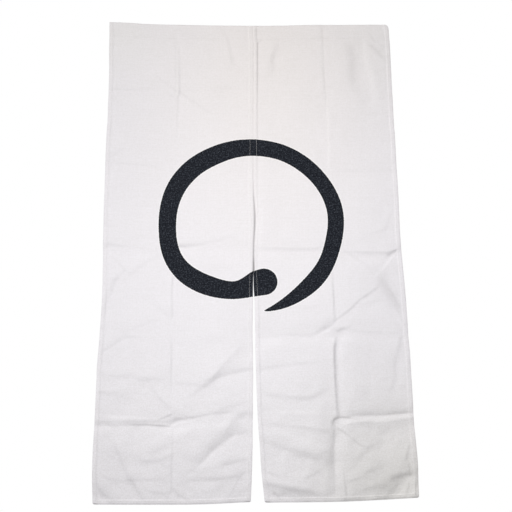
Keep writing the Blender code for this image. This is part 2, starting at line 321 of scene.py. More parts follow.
MIDDLE_RIGHT_CREASES = (
    Crease(0.26, 0.002, 0.009, 0.015, ((0.032, 0.741, 0.8), (0.124, 0.745, 1.0), (0.205, 0.743, 0.9))),
    Crease(0.09, 0.004, 0.004, 0.006, ((0.046, 0.591, 1.0), (0.132, 0.577, 0.6), (0.191, 0.559, 0.6))),
    Crease(0.18, 0.005, 0.007, 0.012, ((0.356, 0.702, 0.4), (0.415, 0.684, 1.0), (0.430, 0.640, 0.6))),
    Crease(0.42, 0.002, 0.010, 0.020, (
        (0.306, 0.753, 0.5), (0.345, 0.754, 0.8), (0.378, 0.755, 0.8), (0.417, 0.756, 1.0),
        (0.444, 0.750, 0.8))),
    Crease(0.45, 0.003, 0.002, 0.060, ((0.414, 0.772, 0.3), (0.426, 0.763, 1.0), (0.444, 0.749, 1.0))),
    Crease(-0.45, 0.002, 0.002, 0.000, (
        (0.376, 0.831, 0.5), (0.398, 0.814, 0.9), (0.421, 0.786, 1.0), (0.446, 0.756, 1.0))),
    Crease(0.10, 0.006, 0.006, 0.045, (
        (0.288, 0.750, 0.5), (0.320, 0.772, 0.8), (0.352, 0.793, 0.8), (0.376, 0.826, 0.5))),
    Crease(0.05, 0.026, 0.022, 0.115, (
        (0.397, 0.819, 0.3), (0.402, 0.844, 0.9), (0.412, 0.868, 1.0), (0.427, 0.893, 1.1),
        (0.440, 0.918, 0.7)), 0.08),
    Crease(0.08, 0.003, 0.012, 0.080, (
        (0.412, 0.852, 0.2), (0.427, 0.878, 0.7), (0.439, 0.901, 1.1), (0.448, 0.924, 1.1),
        (0.454, 0.943, 0.6))),
    Crease(0.20, 0.006, 0.005, 0.080, ((0.436, 0.918, 0.4), (0.447, 0.940, 1.0), (0.459, 0.968, 0.8))),
    Crease(0.15, 0.002, 0.002, 0.030, ((0.376, 0.874, 0.3), (0.390, 0.858, 0.8), (0.399, 0.846, 0.3))),
    Crease(0.60, 0.0018, 0.0012, 0.075, (
        (0.254, 0.968, 0.5), (0.280, 0.950, 0.8), (0.309, 0.927, 1.1), (0.331, 0.905, 1.2),
        (0.380, 0.871, 0.9))),
    Crease(0.10, 0.003, 0.014, 0.012, ((0.338, 0.916, 0.5), (0.362, 0.907, 1.0), (0.392, 0.904, 0.7))),
    Crease(0.55, 0.003, 0.003, 0.020, (
        (0.256, 0.965, 0.7), (0.254, 0.930, 1.0), (0.253, 0.880, 1.0), (0.251, 0.829, 0.5))),
    Crease(0.22, 0.009, 0.006, 0.010, (
        (0.038, 1.017, 0.5), (0.121, 1.010, 0.5), (0.188, 1.011, 0.8), (0.225, 0.988, 1.0))),
    Crease(-0.30, 0.004, 0.003, 0.000, ((0.215, 1.009, 0.6), (0.251, 0.985, 1.0))),
    Crease(0.40, 0.003, 0.005, 0.045, ((0.265, 0.997, 0.9), (0.278, 0.991, 1.0), (0.294, 0.987, 0.5))),
    Crease(0.16, 0.003, 0.006, 0.018, (
        (0.292, 0.994, 0.8), (0.330, 0.999, 0.5), (0.367, 1.001, 1.0), (0.400, 1.002, 0.7),
        (0.435, 1.004, 0.9))),
    Crease(0.06, 0.015, 0.015, 0.000, ((0.287, 0.835, 1.0), (0.325, 0.863, 0.4))),
    Crease(0.12, 0.003, 0.009, 0.008, ((0.156, 0.932, 1.0), (0.203, 0.922, 0.6))),
)
LOWER_LEFT_CREASES = (
    Crease(0.17, 0.005, 0.010, 0.006, (
        (-0.429, 1.129, 0.7), (-0.386, 1.135, 0.9), (-0.348, 1.129, 0.9), (-0.330, 1.141, 1.0),
        (-0.263, 1.141, 0.7))),
    Crease(0.60, 0.005, 0.002, 0.035, (
        (-0.230, 1.179, 0.3), (-0.230, 1.135, 0.6), (-0.230, 1.088, 1.0), (-0.232, 1.013, 0.3))),
    Crease(0.27, 0.014, 0.0015, 0.010, (
        (-0.105, 1.140, 0.6), (-0.073, 1.133, 0.9), (-0.047, 1.125, 1.0), (0.001, 1.117, 1.0))),
    Crease(0.25, 0.006, 0.006, 0.015, (
        (-0.161, 1.185, 0.5), (-0.140, 1.168, 0.9), (-0.124, 1.158, 1.0), (-0.103, 1.142, 0.8))),
    Crease(0.30, 0.001, 0.020, 0.012, (
        (-0.108, 1.138, 1.0), (-0.079, 1.102, 0.8), (-0.052, 1.073, 0.6), (-0.026, 1.043, 0.3))),
    Crease(0.22, 0.002, 0.008, 0.010, ((-0.207, 1.152, 0.5), (-0.198, 1.153, 0.8), (-0.166, 1.157, 1.0))),
    Crease(0.22, 0.004, 0.004, 0.020, (
        (-0.295, 1.156, 0.3), (-0.282, 1.173, 0.6), (-0.264, 1.197, 1.0), (-0.244, 1.218, 0.8))),
    Crease(0.20, 0.004, 0.006, 0.015, ((-0.434, 1.182, 1.0), (-0.402, 1.185, 0.7))),
    Crease(-0.24, 0.008, 0.001, 0.000, (
        (-0.446, 1.252, 0.8), (-0.396, 1.256, 1.0), (-0.330, 1.258, 0.9), (-0.285, 1.260, 0.3))),
    Crease(0.22, 0.001, 0.009, 0.014, (
        (-0.452, 1.264, 0.8), (-0.405, 1.266, 1.0), (-0.361, 1.266, 1.0), (-0.288, 1.264, 0.9),
        (-0.227, 1.266, 0.8))),
    Crease(0.24, 0.009, 0.001, 0.018, ((-0.452, 1.277, 0.8), (-0.405, 1.279, 1.0), (-0.340, 1.278, 0.7))),
    Crease(0.60, 0.0025, 0.0015, 0.090, (
        (-0.350, 1.277, 0.2), (-0.330, 1.276, 0.8), (-0.303, 1.276, 0.9), (-0.259, 1.279, 1.1),
        (-0.231, 1.281, 0.6))),
    Crease(0.40, 0.002, 0.002, 0.050, ((-0.268, 1.263, 0.5), (-0.251, 1.256, 1.0), (-0.230, 1.247, 1.0))),
    Crease(0.40, 0.007, 0.003, 0.015, (
        (-0.221, 1.264, 0.9), (-0.210, 1.261, 1.1), (-0.157, 1.255, 0.9), (-0.109, 1.245, 0.6),
        (-0.059, 1.240, 0.6))),
    Crease(-0.30, 0.002, 0.004, 0.000, (
        (-0.226, 1.278, 0.8), (-0.210, 1.270, 1.0), (-0.190, 1.268, 0.2))),
    Crease(-0.10, 0.010, 0.012, 0.000, (
        (-0.217, 1.290, 1.0), (-0.150, 1.283, 1.0), (-0.080, 1.275, 0.6))),
    Crease(0.20, 0.006, 0.007, 0.015, ((-0.067, 1.227, 1.0), (-0.036, 1.217, 0.6))),
    Crease(0.30, 0.010, 0.012, 0.018, (
        (-0.054, 1.280, 0.5), (-0.036, 1.254, 1.0), (-0.012, 1.243, 1.0), (0.002, 1.244, 0.7))),
    Crease(0.30, 0.022, 0.002, 0.024, (
        (-0.158, 1.404, 0.5), (-0.148, 1.393, 0.9), (-0.109, 1.352, 1.0), (-0.074, 1.323, 0.9),
        (-0.045, 1.304, 0.9), (-0.011, 1.301, 0.8))),
    Crease(-0.12, 0.002, 0.014, 0.000, (
        (-0.132, 1.386, 1.0), (-0.095, 1.350, 1.0), (-0.050, 1.318, 0.6))),
    Crease(0.16, 0.002, 0.003, 0.018, ((-0.170, 1.407, 1.0), (-0.141, 1.410, 0.5))),
    Crease(0.28, 0.008, 0.004, 0.015, ((-0.066, 1.389, 0.8), (-0.049, 1.386, 1.0), (-0.020, 1.379, 0.9))),
    Crease(0.30, 0.009, 0.004, 0.015, (
        (-0.163, 1.435, 0.7), (-0.098, 1.433, 1.0), (-0.054, 1.428, 0.9), (-0.037, 1.424, 0.8))),
    Crease(0.30, 0.003, 0.001, 0.035, ((-0.055, 1.479, 0.7), (-0.042, 1.455, 0.9), (-0.024, 1.421, 1.0))),
    Crease(0.12, 0.001, 0.010, 0.010, (
        (-0.302, 1.356, 0.8), (-0.267, 1.347, 1.0), (-0.233, 1.330, 1.0), (-0.196, 1.318, 0.5))),
    Crease(0.25, 0.006, 0.008, 0.008, ((-0.297, 1.381, 1.0), (-0.265, 1.379, 0.9), (-0.234, 1.370, 0.7))),
    Crease(0.36, 0.008, 0.012, 0.016, (
        (-0.398, 1.322, 0.5), (-0.388, 1.340, 0.9), (-0.349, 1.420, 1.0), (-0.309, 1.482, 0.8))),
    Crease(0.22, 0.003, 0.004, 0.012, (
        (-0.420, 1.420, 0.5), (-0.408, 1.429, 0.8), (-0.364, 1.437, 1.0), (-0.300, 1.431, 1.0),
        (-0.251, 1.435, 0.7))),
    Crease(0.50, 0.004, 0.002, 0.050, (
        (-0.223, 1.460, 0.8), (-0.224, 1.410, 1.0), (-0.223, 1.340, 0.6), (-0.224, 1.285, 0.4))),
    Crease(0.38, 0.004, 0.003, 0.030, ((-0.219, 1.460, 1.0), (-0.203, 1.477, 0.9), (-0.180, 1.488, 0.5))),
    Crease(0.38, 0.010, 0.008, 0.022, (
        (-0.446, 1.418, 0.3), (-0.433, 1.458, 0.9), (-0.420, 1.475, 1.0), (-0.397, 1.488, 0.5))),
    Crease(0.20, 0.002, 0.008, 0.020, ((-0.289, 1.463, 1.0), (-0.260, 1.470, 0.9), (-0.232, 1.469, 0.6))),
)
LOWER_RIGHT_CREASES = (
    Crease(0.80, 0.004, 0.008, 0.050, (
        (0.258, 1.245, 0.6), (0.254, 1.150, 0.9), (0.252, 1.090, 1.0), (0.253, 1.045, 1.0),
        (0.259, 1.020, 0.4))),
    Crease(0.18, 0.004, 0.008, 0.005, (
        (0.046, 1.109, 0.9), (0.101, 1.101, 0.8), (0.158, 1.094, 1.0), (0.209, 1.092, 0.5))),
    Crease(0.33, 0.004, 0.009, 0.005, (
        (0.056, 1.185, 0.5), (0.110, 1.195, 0.6), (0.155, 1.198, 1.0), (0.187, 1.194, 0.8),
        (0.218, 1.173, 0.4), (0.242, 1.164, 0.2))),
    Crease(0.28, 0.007, 0.006, 0.010, (
        (0.425, 1.160, 0.7), (0.433, 1.133, 0.8), (0.430, 1.100, 0.6), (0.442, 1.064, 0.6),
        (0.452, 1.023, 1.0))),
    Crease(0.45, 0.0025, 0.0015, 0.085, (
        (0.242, 1.278, 0.5), (0.245, 1.268, 0.9), (0.250, 1.260, 1.0), (0.266, 1.254, 0.8),
        (0.292, 1.255, 0.7))),
    Crease(0.34, 0.013, 0.0012, 0.028, (
        (0.280, 1.252, 0.4), (0.300, 1.249, 0.8), (0.345, 1.247, 1.0), (0.372, 1.247, 0.9),
        (0.401, 1.246, 1.2), (0.430, 1.243, 1.2), (0.450, 1.242, 1.6), (0.477, 1.240, 1.1))),
    Crease(-0.12, 0.002, 0.004, 0.000, (
        (0.254, 1.276, 0.4), (0.280, 1.272, 0.8), (0.300, 1.266, 1.0), (0.349, 1.258, 1.0),
        (0.398, 1.254, 0.9), (0.478, 1.248, 0.5))),
    Crease(0.22, 0.004, 0.028, 0.012, (
        (0.283, 1.278, 0.6), (0.297, 1.273, 1.2), (0.335, 1.269, 1.2), (0.370, 1.270, 1.0),
        (0.395, 1.270, 1.1), (0.430, 1.264, 1.1), (0.475, 1.257, 1.1))),
    Crease(-0.12, 0.006, 0.006, 0.000, ((0.056, 1.241, 0.7), (0.150, 1.241, 1.0), (0.243, 1.241, 0.8))),
    Crease(0.55, 0.002, 0.002, 0.035, ((0.247, 1.325, 0.7), (0.248, 1.295, 0.9), (0.249, 1.268, 0.8))),
    Crease(0.45, 0.014, 0.002, 0.020, (
        (0.243, 1.476, 0.3), (0.247, 1.440, 0.5), (0.246, 1.376, 0.8), (0.246, 1.345, 0.9),
        (0.247, 1.315, 0.7))),
    Crease(-0.06, 0.002, 0.006, 0.000, ((0.259, 1.480, 0.7), (0.256, 1.400, 1.0), (0.255, 1.330, 0.8))),
    Crease(0.30, 0.002, 0.001, 0.110, (
        (0.258, 1.286, 1.0), (0.280, 1.299, 1.0), (0.300, 1.317, 0.9), (0.323, 1.333, 0.8),
        (0.335, 1.339, 0.7), (0.350, 1.342, 0.5), (0.358, 1.341, 0.0))),
    Crease(0.10, 0.002, 0.002, 0.120, (
        (0.240, 1.277, 0.3), (0.242, 1.266, 0.9), (0.252, 1.256, 1.0), (0.264, 1.253, 0.9),
        (0.294, 1.255, 0.8))),
    Crease(0.22, 0.007, 0.007, 0.008, ((0.325, 1.366, 0.7), (0.355, 1.337, 1.0))),
    Crease(0.31, 0.012, 0.014, 0.015, (
        (0.062, 1.330, 0.5), (0.090, 1.338, 0.8), (0.119, 1.348, 1.0), (0.150, 1.359, 1.0),
        (0.185, 1.369, 0.8))),
    Crease(-0.16, 0.010, 0.010, 0.000, ((0.073, 1.293, 0.7), (0.130, 1.311, 1.0), (0.181, 1.330, 0.9))),
    Crease(0.20, 0.005, 0.008, 0.010, (
        (0.061, 1.275, 0.6), (0.149, 1.283, 1.0), (0.190, 1.290, 1.0), (0.228, 1.296, 0.7))),
    Crease(0.30, 0.003, 0.003, 0.030, ((0.058, 1.413, 1.0), (0.084, 1.424, 0.9))),
    Crease(0.40, 0.002, 0.003, 0.055, ((0.068, 1.465, 1.0), (0.086, 1.485, 0.9))),
    Crease(0.25, 0.014, 0.014, 0.050, (
        (0.075, 1.474, 0.9), (0.110, 1.477, 0.9), (0.150, 1.482, 0.6), (0.200, 1.486, 0.0))),
    Crease(0.45, 0.008, 0.014, 0.020, (
        (0.061, 1.447, 0.9), (0.104, 1.456, 1.0), (0.161, 1.466, 1.0), (0.190, 1.471, 0.6),
        (0.228, 1.478, 0.0)), 0.04),
    Crease(0.25, 0.002, 0.002, 0.030, ((0.184, 1.403, 0.8), (0.213, 1.421, 1.0))),
    Crease(0.25, 0.002, 0.004, 0.020, ((0.163, 1.429, 0.8), (0.189, 1.416, 1.0))),
    Crease(0.12, 0.009, 0.009, 0.006, ((0.230, 1.464, 0.8), (0.231, 1.407, 1.0), (0.232, 1.380, 0.3))),
    Crease(0.50, 0.002, 0.002, 0.050, ((0.279, 1.479, 1.0), (0.276, 1.440, 0.8), (0.274, 1.410, 0.7))),
    Crease(0.30, 0.003, 0.006, 0.015, ((0.286, 1.437, 1.0), (0.320, 1.427, 0.8))),
    Crease(0.22, 0.005, 0.009, 0.008, ((0.329, 1.460, 0.9), (0.395, 1.448, 0.8))),
    Crease(0.30, 0.003, 0.003, 0.030, ((0.276, 1.489, 1.0), (0.319, 1.486, 0.7))),
    Crease(0.40, 0.003, 0.003, 0.030, ((0.458, 1.370, 1.0), (0.464, 1.343, 0.8))),
    Crease(0.42, 0.010, 0.007, 0.030, (
        (0.405, 1.436, 0.3), (0.420, 1.428, 0.9), (0.440, 1.422, 1.1), (0.457, 1.419, 1.0),
        (0.468, 1.416, 0.7))),
    Crease(0.18, 0.006, 0.006, 0.025, ((0.400, 1.476, 0.7), (0.412, 1.462, 1.0), (0.428, 1.448, 0.6))),
    Crease(0.25, 0.002, 0.002, 0.190, ((0.464, 1.388, 0.6), (0.465, 1.405, 1.0), (0.466, 1.421, 0.8))),
    Crease(0.25, 0.002, 0.002, 0.150, ((0.462, 1.440, 0.8), (0.460, 1.455, 1.0), (0.456, 1.471, 0.7))),
    Crease(-0.25, 0.003, 0.004, 0.000, ((0.436, 1.474, 0.6), (0.447, 1.458, 1.0), (0.455, 1.443, 0.5))),
    Crease(0.50, 0.003, 0.003, 0.020, ((0.481, 1.475, 0.8), (0.482, 1.442, 1.0))),
    Crease(0.16, 0.006, 0.006, 0.008, ((0.347, 1.409, 1.0), (0.380, 1.399, 0.6))),
)
CREASES = (
    SEAM_CREASES
    + TOP_LEFT_CREASES
    + TOP_RIGHT_CREASES
    + MIDDLE_LEFT_CREASES
    + MIDDLE_RIGHT_CREASES
    + LOWER_LEFT_CREASES
    + LOWER_RIGHT_CREASES
)


class Press(NamedTuple):
    """Where the cloth lay folded: the shares across each panel and the drops of its sharp creases."""

    left_share: float
    right_share: float
    drops: tuple[float, ...]


PRESS = Press(
    left_share=0.483,
    right_share=0.508,
    drops=(0.235, 0.494, 0.748, 1.004, 1.245, 1.262, 1.279),
)


class Ripple(NamedTuple):
    """One size of crinkle over the whole cloth: its spacing, and its height at the top and lower down."""

    spacing: float
    height: float
    lower: float = 0.0


# Each ripple: spacing, height at the top, height lower down.
CRINKLE = (
    Ripple(0.085, 0.0011, 0.0012),
    Ripple(0.034, 0.00042, 0.00140),
    Ripple(0.015, 0.00013, 0.00036),
)
HEM_PUCKER = Ripple(0.016, 0.00035)
EDGE_SWAY = Ripple(0.060, 0.0008)


def ease(value: np.ndarray) -> np.ndarray:
    """Smooth step from 0 to 1 over the unit range."""
    t = np.clip(value, 0.0, 1.0)
    return t * t * (3.0 - 2.0 * t)


def bell(value: np.ndarray, middle: float, width: float) -> np.ndarray:
    """Round bump of height 1 at its middle."""
    return np.exp(-(((value - middle) / width) ** 2))


def smooth_through(places: Sequence[float], values: Sequence[float], at: np.ndarray) -> np.ndarray:
    """Read a smooth curve that passes through every value at its place.

    Args:
        places: rising places along the curve.
        values: the value at each place.
        at: where to read the curve. Beyond its ends it keeps its end values.

    Returns:
        The curve's value at each place asked for.
    """
    p, v = np.array(places), np.array(values)
    slopes = np.empty_like(v)
    slopes[1:-1] = (v[2:] - v[:-2]) / (p[2:] - p[:-2])
    slopes[0] = (v[1] - v[0]) / (p[1] - p[0])
    slopes[-1] = (v[-1] - v[-2]) / (p[-1] - p[-2])
    inside = np.clip(at, p[0], p[-1])
    i = np.clip(np.searchsorted(p, inside, side="right") - 1, 0, len(p) - 2)
    span = p[i + 1] - p[i]
    t = (inside - p[i]) / span
    start = v[i] * (1 + 2 * t) * (1 - t) ** 2 + slopes[i] * span * t * (1 - t) ** 2
    end = v[i + 1] * t * t * (3 - 2 * t) + slopes[i + 1] * span * t * t * (t - 1)
    return start + end


def spaced(
    start: float, end: float, coarse: float, fine: float, lines: Sequence[float], near: float
) -> np.ndarray:
    """Places from start to end, a coarse step apart, with finer steps near some lines.

    Args:
        start: first place.
        end: last place.
        coarse: step far from the lines.
        fine: step at a line.
        lines: the lines.
        near: how far from a line the finer steps reach.

    Returns:
        The places, with both ends.
    """
    probe = np.linspace(start, end, CURVE_PROBES)
    closeness = np.max([np.exp(-(((probe - line) / near) ** 2)) for line in lines], axis=0)
    density = 1 / coarse + (1 / fine - 1 / coarse) * closeness
    reached = np.concatenate([[0], np.cumsum((density[1:] + density[:-1]) / 2 * np.diff(probe))])
    return np.interp(np.linspace(0, reached[-1], round(reached[-1]) + 1), reached, probe)


def every_other(steps: np.ndarray, least: float) -> np.ndarray:
    """Which places of a run to keep so that few neighbours are closer than a step, with both ends.

    Args:
        steps: distances between the run's places.
        least: the smallest step wanted where the run is finer. Very short steps keep their places.

    Returns:
        The kept places' indices.
    """
    kept = [0]
    walked = 0.0
    for k, step in enumerate(steps, start=1):
        walked += step
        if step < least / 3 or walked >= least or k == len(steps):
            kept.append(k)
            walked = 0.0
    return np.array(kept)


def level_value(column: str, drop: np.ndarray) -> np.ndarray:
    """Read one column of the outline table at any drop."""
    return smooth_through([row.drop for row in LEVELS], [getattr(row, column) for row in LEVELS], drop)


def edge_rise(points: Sequence[EdgePoint], x: np.ndarray) -> np.ndarray:
    """Height of a wavy edge above its straight line."""
    return smooth_through([p.x for p in points], [p.rise for p in points], x)


def lattice_noise(x: np.ndarray, y: np.ndarray | float, spacing: float, seed: int) -> np.ndarray:
    """Smooth noise between -1 and 1 whose bumps are about one spacing apart.

    Args:
        x: first coordinate of each place, in metres.
        y: second coordinate of each place.
        spacing: distance between the lattice's points.
        seed: which of the repeatable patterns is used.

    Returns:
        The noise at each place.
    """
    turn = LATTICE_TURN * seed
    along = (x * math.cos(turn) - y * math.sin(turn)) / spacing + LATTICE_SIZE / 2
    across = (x * math.sin(turn) + y * math.cos(turn)) / spacing + LATTICE_SIZE / 2
    heights = np.random.default_rng(seed).uniform(-1, 1, (LATTICE_SIZE, LATTICE_SIZE))
    i, j = np.floor(along).astype(int), np.floor(across).astype(int)
    s, t = ease(along - i), ease(across - j)
    i, j = i % (LATTICE_SIZE - 1), j % (LATTICE_SIZE - 1)
    low = heights[i, j] * (1 - s) + heights[i + 1, j] * s
    high = heights[i, j + 1] * (1 - s) + heights[i + 1, j + 1] * s
    return low * (1 - t) + high * t


def along_segment(
    x: np.ndarray, y: np.ndarray, a: Sequence[float], b: Sequence[float]
) -> tuple[np.ndarray, np.ndarray]:
    """Distance from places to the line between two points, and how far along it the nearest point is.

    Args:
        x: first coordinate of each place.
        y: second coordinate of each place.
        a: first end of the line.
        b: second end of the line.

    Returns:
        The distances, and the shares from 0 at a to 1 at b.
    """
    run_x, run_y = b[0] - a[0], b[1] - a[1]
    share = np.clip(((x - a[0]) * run_x + (y - a[1]) * run_y) / (run_x**2 + run_y**2), 0, 1)
    return np.hypot(x - a[0] - share * run_x, y - a[1] - share * run_y), share


@dataclass(frozen=True)
class Relief:
    """How far the cloth stands back from its plane: soft folds, creases and a fine crinkle."""

    folds: tuple[Fold, ...]
    creases: tuple[Crease, ...]
    crinkle: tuple[Ripple, ...]
    # The crinkle changes to its lower heights from this drop on, over this length.
    crinkle_from: float = 0.95
    crinkle_over: float = 0.45
    # A crease's step tails off within this share of its reach.
    tail: float = 0.886
    # The painted shade along a crease is this wide, or else this share of its crease's two reaches,
    # whichever is wider.
    painted_shade_width: float = 0.0032
    painted_shade_spread: float = 0.3
    # The least distance from a route that a division uses.
    closest: float = 1e-6

    def fold_depth(self, fold: Fold, x: np.ndarray, drop: np.ndarray) -> np.ndarray:
        """Depth that one soft fold adds at each place."""
        off, share = along_segment(x, drop, (fold.x0, fold.drop0), (fold.x1, fold.drop1))
        return (fold.depth0 + (fold.depth1 - fold.depth0) * share) * np.exp(-((off / fold.width) ** 2))

    def beside_crease(self, crease: Crease, x: np.ndarray, drop: np.ndarray) -> tuple[np.ndarray, ...]:
        """How places lie to a crease.

        Args:
            crease: the crease.
            x: first coordinate of each place.
            drop: second coordinate of each place.

        Returns:
            The distance to its route, its share there, and the side: 0 left of the way and 1 right of it.
        """
        nearest = np.full(x.shape, np.inf)
        strength, turn = np.zeros(x.shape), np.zeros(x.shape)
        for a, b in zip(crease.route, crease.route[1:]):
            off, share = along_segment(x, drop, a[:2], b[:2])
            aside = (b[0] - a[0]) * (drop - a[1]) - (b[1] - a[1]) * (x - a[0])
            aside = aside / np.maximum(off, self.closest) / math.hypot(b[0] - a[0], b[1] - a[1])
            closer = off < nearest
            nearest = np.where(closer, off, nearest)
            strength = np.where(closer, a[2] + (b[2] - a[2]) * share, strength)
            turn = np.where(closer, ease(aside / 2 + 0.5), turn)
        return nearest, strength, turn

    def crease_depth(self, crease: Crease, x: np.ndarray, drop: np.ndarray) -> np.ndarray:
        """Depth that one crease adds at each place."""
        nearest, strength, turn = self.beside_crease(crease, x, drop)
        whole = self.tail * (crease.left + crease.right)
        back = whole / 2 * np.exp(-nearest / crease.fade)
        at_left = self.tail * crease.left * (1 - np.tanh(nearest / crease.left / self.tail)) - back
        at_right = back - self.tail * crease.right * (1 - np.tanh(nearest / crease.right / self.tail))
        steepness = crease.slope / (1 - whole / 2 / crease.fade)
        return steepness * strength * (at_left * (1 - turn) + at_right * turn)

    def depth(self, x: np.ndarray, drop: np.ndarray) -> np.ndarray:
        """Total depth at each place. The pocket, held straight, keeps little of it."""
        total = sum(self.fold_depth(fold, x, drop) for fold in self.folds)
        total = total * ease((drop - POCKET_HEIGHT / 2) / POCKET_HEIGHT)
        total = total + sum(self.crease_depth(crease, x, drop) for crease in self.creases)
        low = ease((drop - self.crinkle_from) / self.crinkle_over)
        for seed, ripple in enumerate(self.crinkle, start=Pattern.CRINKLE):
            height = ripple.height + (ripple.lower - ripple.height) * low
            total = total + height * lattice_noise(x, drop, ripple.spacing, seed)
        return total

    def painted_shade(self, x: np.ndarray, drop: np.ndarray) -> np.ndarray:
        """How much painted shade the creases get at each place: darker colour along them in place of their
        shadow.
        """
        total = np.zeros(x.shape)
        for crease in self.creases:
            if crease.painted_shade:
                nearest, strength, _ = self.beside_crease(crease, x, drop)
                width = max(self.painted_shade_width, self.painted_shade_spread * (crease.left + crease.right))
                total = total + crease.painted_shade * strength * np.exp(-((nearest / width) ** 2))
        return total


class Wash(NamedTuple):
    """A broad, soft patch of painted light and shade on the cotton's colour: its middle, its two widths and
    its share.
    """

    x: float
    drop: float
    wide: float
    long: float
    share: float

    def at(self, x: np.ndarray, drop: np.ndarray) -> np.ndarray:
        """Share at each place."""
        return self.share * bell(x, self.x, self.wide) * bell(drop, self.drop, self.long)


# Each wash: x, drop, its half widths across and down, and its share.
# Painted warm light: a warm tint over the top of the cloth, where the light falls warmer.
PAINTED_WARM_LIGHT = (Wash(0.06, 0.0, 0.40, 0.66, 0.074),)
# Painted shade: the corners, which lie in shade, get the yellow cast of that shade.
PAINTED_CORNER_SHADE = (
    Wash(0.46, 1.47, 0.26, 0.24, 0.052),
    Wash(0.42, 0.00, 0.14, 0.22, 0.016),
    Wash(-0.44, 0.00, 0.14, 0.16, 0.026),
)
# Painted shade: broad patches darkened where the cloth lies in shade.
PAINTED_SHADE_PATCHES = (
    Wash(-0.37, 0.40, 0.15, 0.28, 0.032),
    Wash(0.36, 0.36, 0.13, 0.34, 0.008),
    Wash(0.328, 0.14, 0.028, 0.12, 0.022),
    Wash(0.46, 0.84, 0.08, 0.20, 0.014),
    Wash(0.405, 0.85, 0.034, 0.06, 0.026),
    Wash(0.06, 0.86, 0.24, 0.24, 0.010),
    Wash(-0.24, 1.46, 0.24, 0.12, 0.026),
    Wash(0.31, 1.42, 0.09, 0.09, 0.020),
    Wash(-0.02, 1.48, 0.36, 0.14, 0.018),
)


def washed(washes: Sequence[Wash], x: np.ndarray, drop: np.ndarray) -> np.ndarray:
    """Sum of some washes at each place."""
    return sum(wash.at(x, drop) for wash in washes)


class Stations(NamedTuple):
    """Places across a panel, each at left * (1 - share) + right * share + shift, in one layer of the hem.

    The layer is how far behind the front layer it lies, and the stack is the pitch of all layers there.
    """

    share: np.ndarray
    shift: np.ndarray
    layer: np.ndarray
    stack: np.ndarray


class Rows(NamedTuple):
    """Places down a panel: a base, and what a station's stack and its layer add to it, in depth and drop."""

    depth: np.ndarray
    depth_of_stack: np.ndarray
    depth_of_layer: np.ndarray
    drop: np.ndarray
    drop_of_stack: np.ndarray
    drop_of_layer: np.ndarray


def hem_stack(inset: np.ndarray) -> np.ndarray:
    """Pitch of all layers at a distance from a side edge: three in the hem and one beyond it."""
    return LAYER_PITCH * (1 + 2 * (1 - ease((inset - HEM_WIDTH) / HEM.stack_fade)))


def front_rows(drop: np.ndarray) -> Rows:
    """Rows on the front of the curtain."""
    zero = np.zeros_like(drop)
    return Rows(zero, zero, zero + 1, drop, zero, zero)


def crest_rows(angle: np.ndarray) -> Rows:
    """Rows over the crest of the pocket, from -90 degrees at its back to 90 at its front."""
    zero = np.zeros_like(angle)
    sine, cosine = np.sin(angle), np.cos(angle)
    return Rows(POCKET_RADIUS * (1 - sine), zero, sine, POCKET_RADIUS * (1 - cosine), zero, cosine)


def pocket_rows(drop: np.ndarray) -> Rows:
    """Rows down the back layer of the pocket, which closes on the front layer at its stitching."""
    shoulder = POCKET_HEIGHT * POCKET_SHOULDER
    share = ease((drop - shoulder) / (POCKET_HEIGHT - shoulder))
    zero = np.zeros_like(drop)
    return Rows(POCKET_DEPTH * (1 - share) - LAYER_PITCH * share, 3 * share, zero - 1, drop, zero, zero)


def turn_rows(angle: np.ndarray, level: float, up: bool) -> Rows:
    """Rows round the inner fold of a hem, from its back layer at 0 to its turned-in layer at 180 degrees.

    Args:
        angle: angles round the fold.
        level: drop at which the fold starts.
        up: whether the fold points up, as in the bottom hem, or down, as in the pocket's.

    Returns:
        The rows.
    """
    way = -1.0 if up else 1.0
    sine, cosine = np.sin(angle), np.cos(angle)
    return Rows(
        -LAYER_PITCH / 2 * (1 + cosine), 2 + cosine, -cosine,
        level - way * LAYER_PITCH / 2 * sine, way * sine, -way * sine,
    )


def turned_rows(drop: np.ndarray) -> Rows:
    """Rows on a turned-in layer, between the front and back layers."""
    zero = np.zeros_like(drop)
    return Rows(zero, zero + 1, zero + 1, drop, zero, zero)


def bottom_rows(angle: np.ndarray) -> Rows:
    """Rows round the bottom edge, from the front at angle 0 to the back at 180 degrees."""
    sine, cosine = np.sin(angle), np.cos(angle)
    return Rows(
        -LAYER_PITCH / 2 * (1 - cosine), 1.5 * (1 - cosine), cosine,
        CLOTH_LENGTH + LAYER_PITCH / 2 * (1 - sine), -1.5 * (1 - sine), -sine,
    )


def hem_back_rows(drop: np.ndarray) -> Rows:
    """Rows on the back layer of the bottom hem."""
    zero = np.zeros_like(drop)
    return Rows(zero - LAYER_PITCH, zero + 3, zero - 1, drop, zero, zero)


def stacked(parts: Sequence[NamedTuple]) -> NamedTuple:
    """Join several runs of rows or stations, end to end."""
    columns = zip(*([np.broadcast_to(value, part[0].shape) for value in part] for part in parts))
    return type(parts[0])(*(np.concatenate(column) for column in columns))


class Swell(NamedTuple):
    """A place round the ring where its radius or width swells: its angle, its reach and its height."""

    angle: float
    reach: float
    height: float


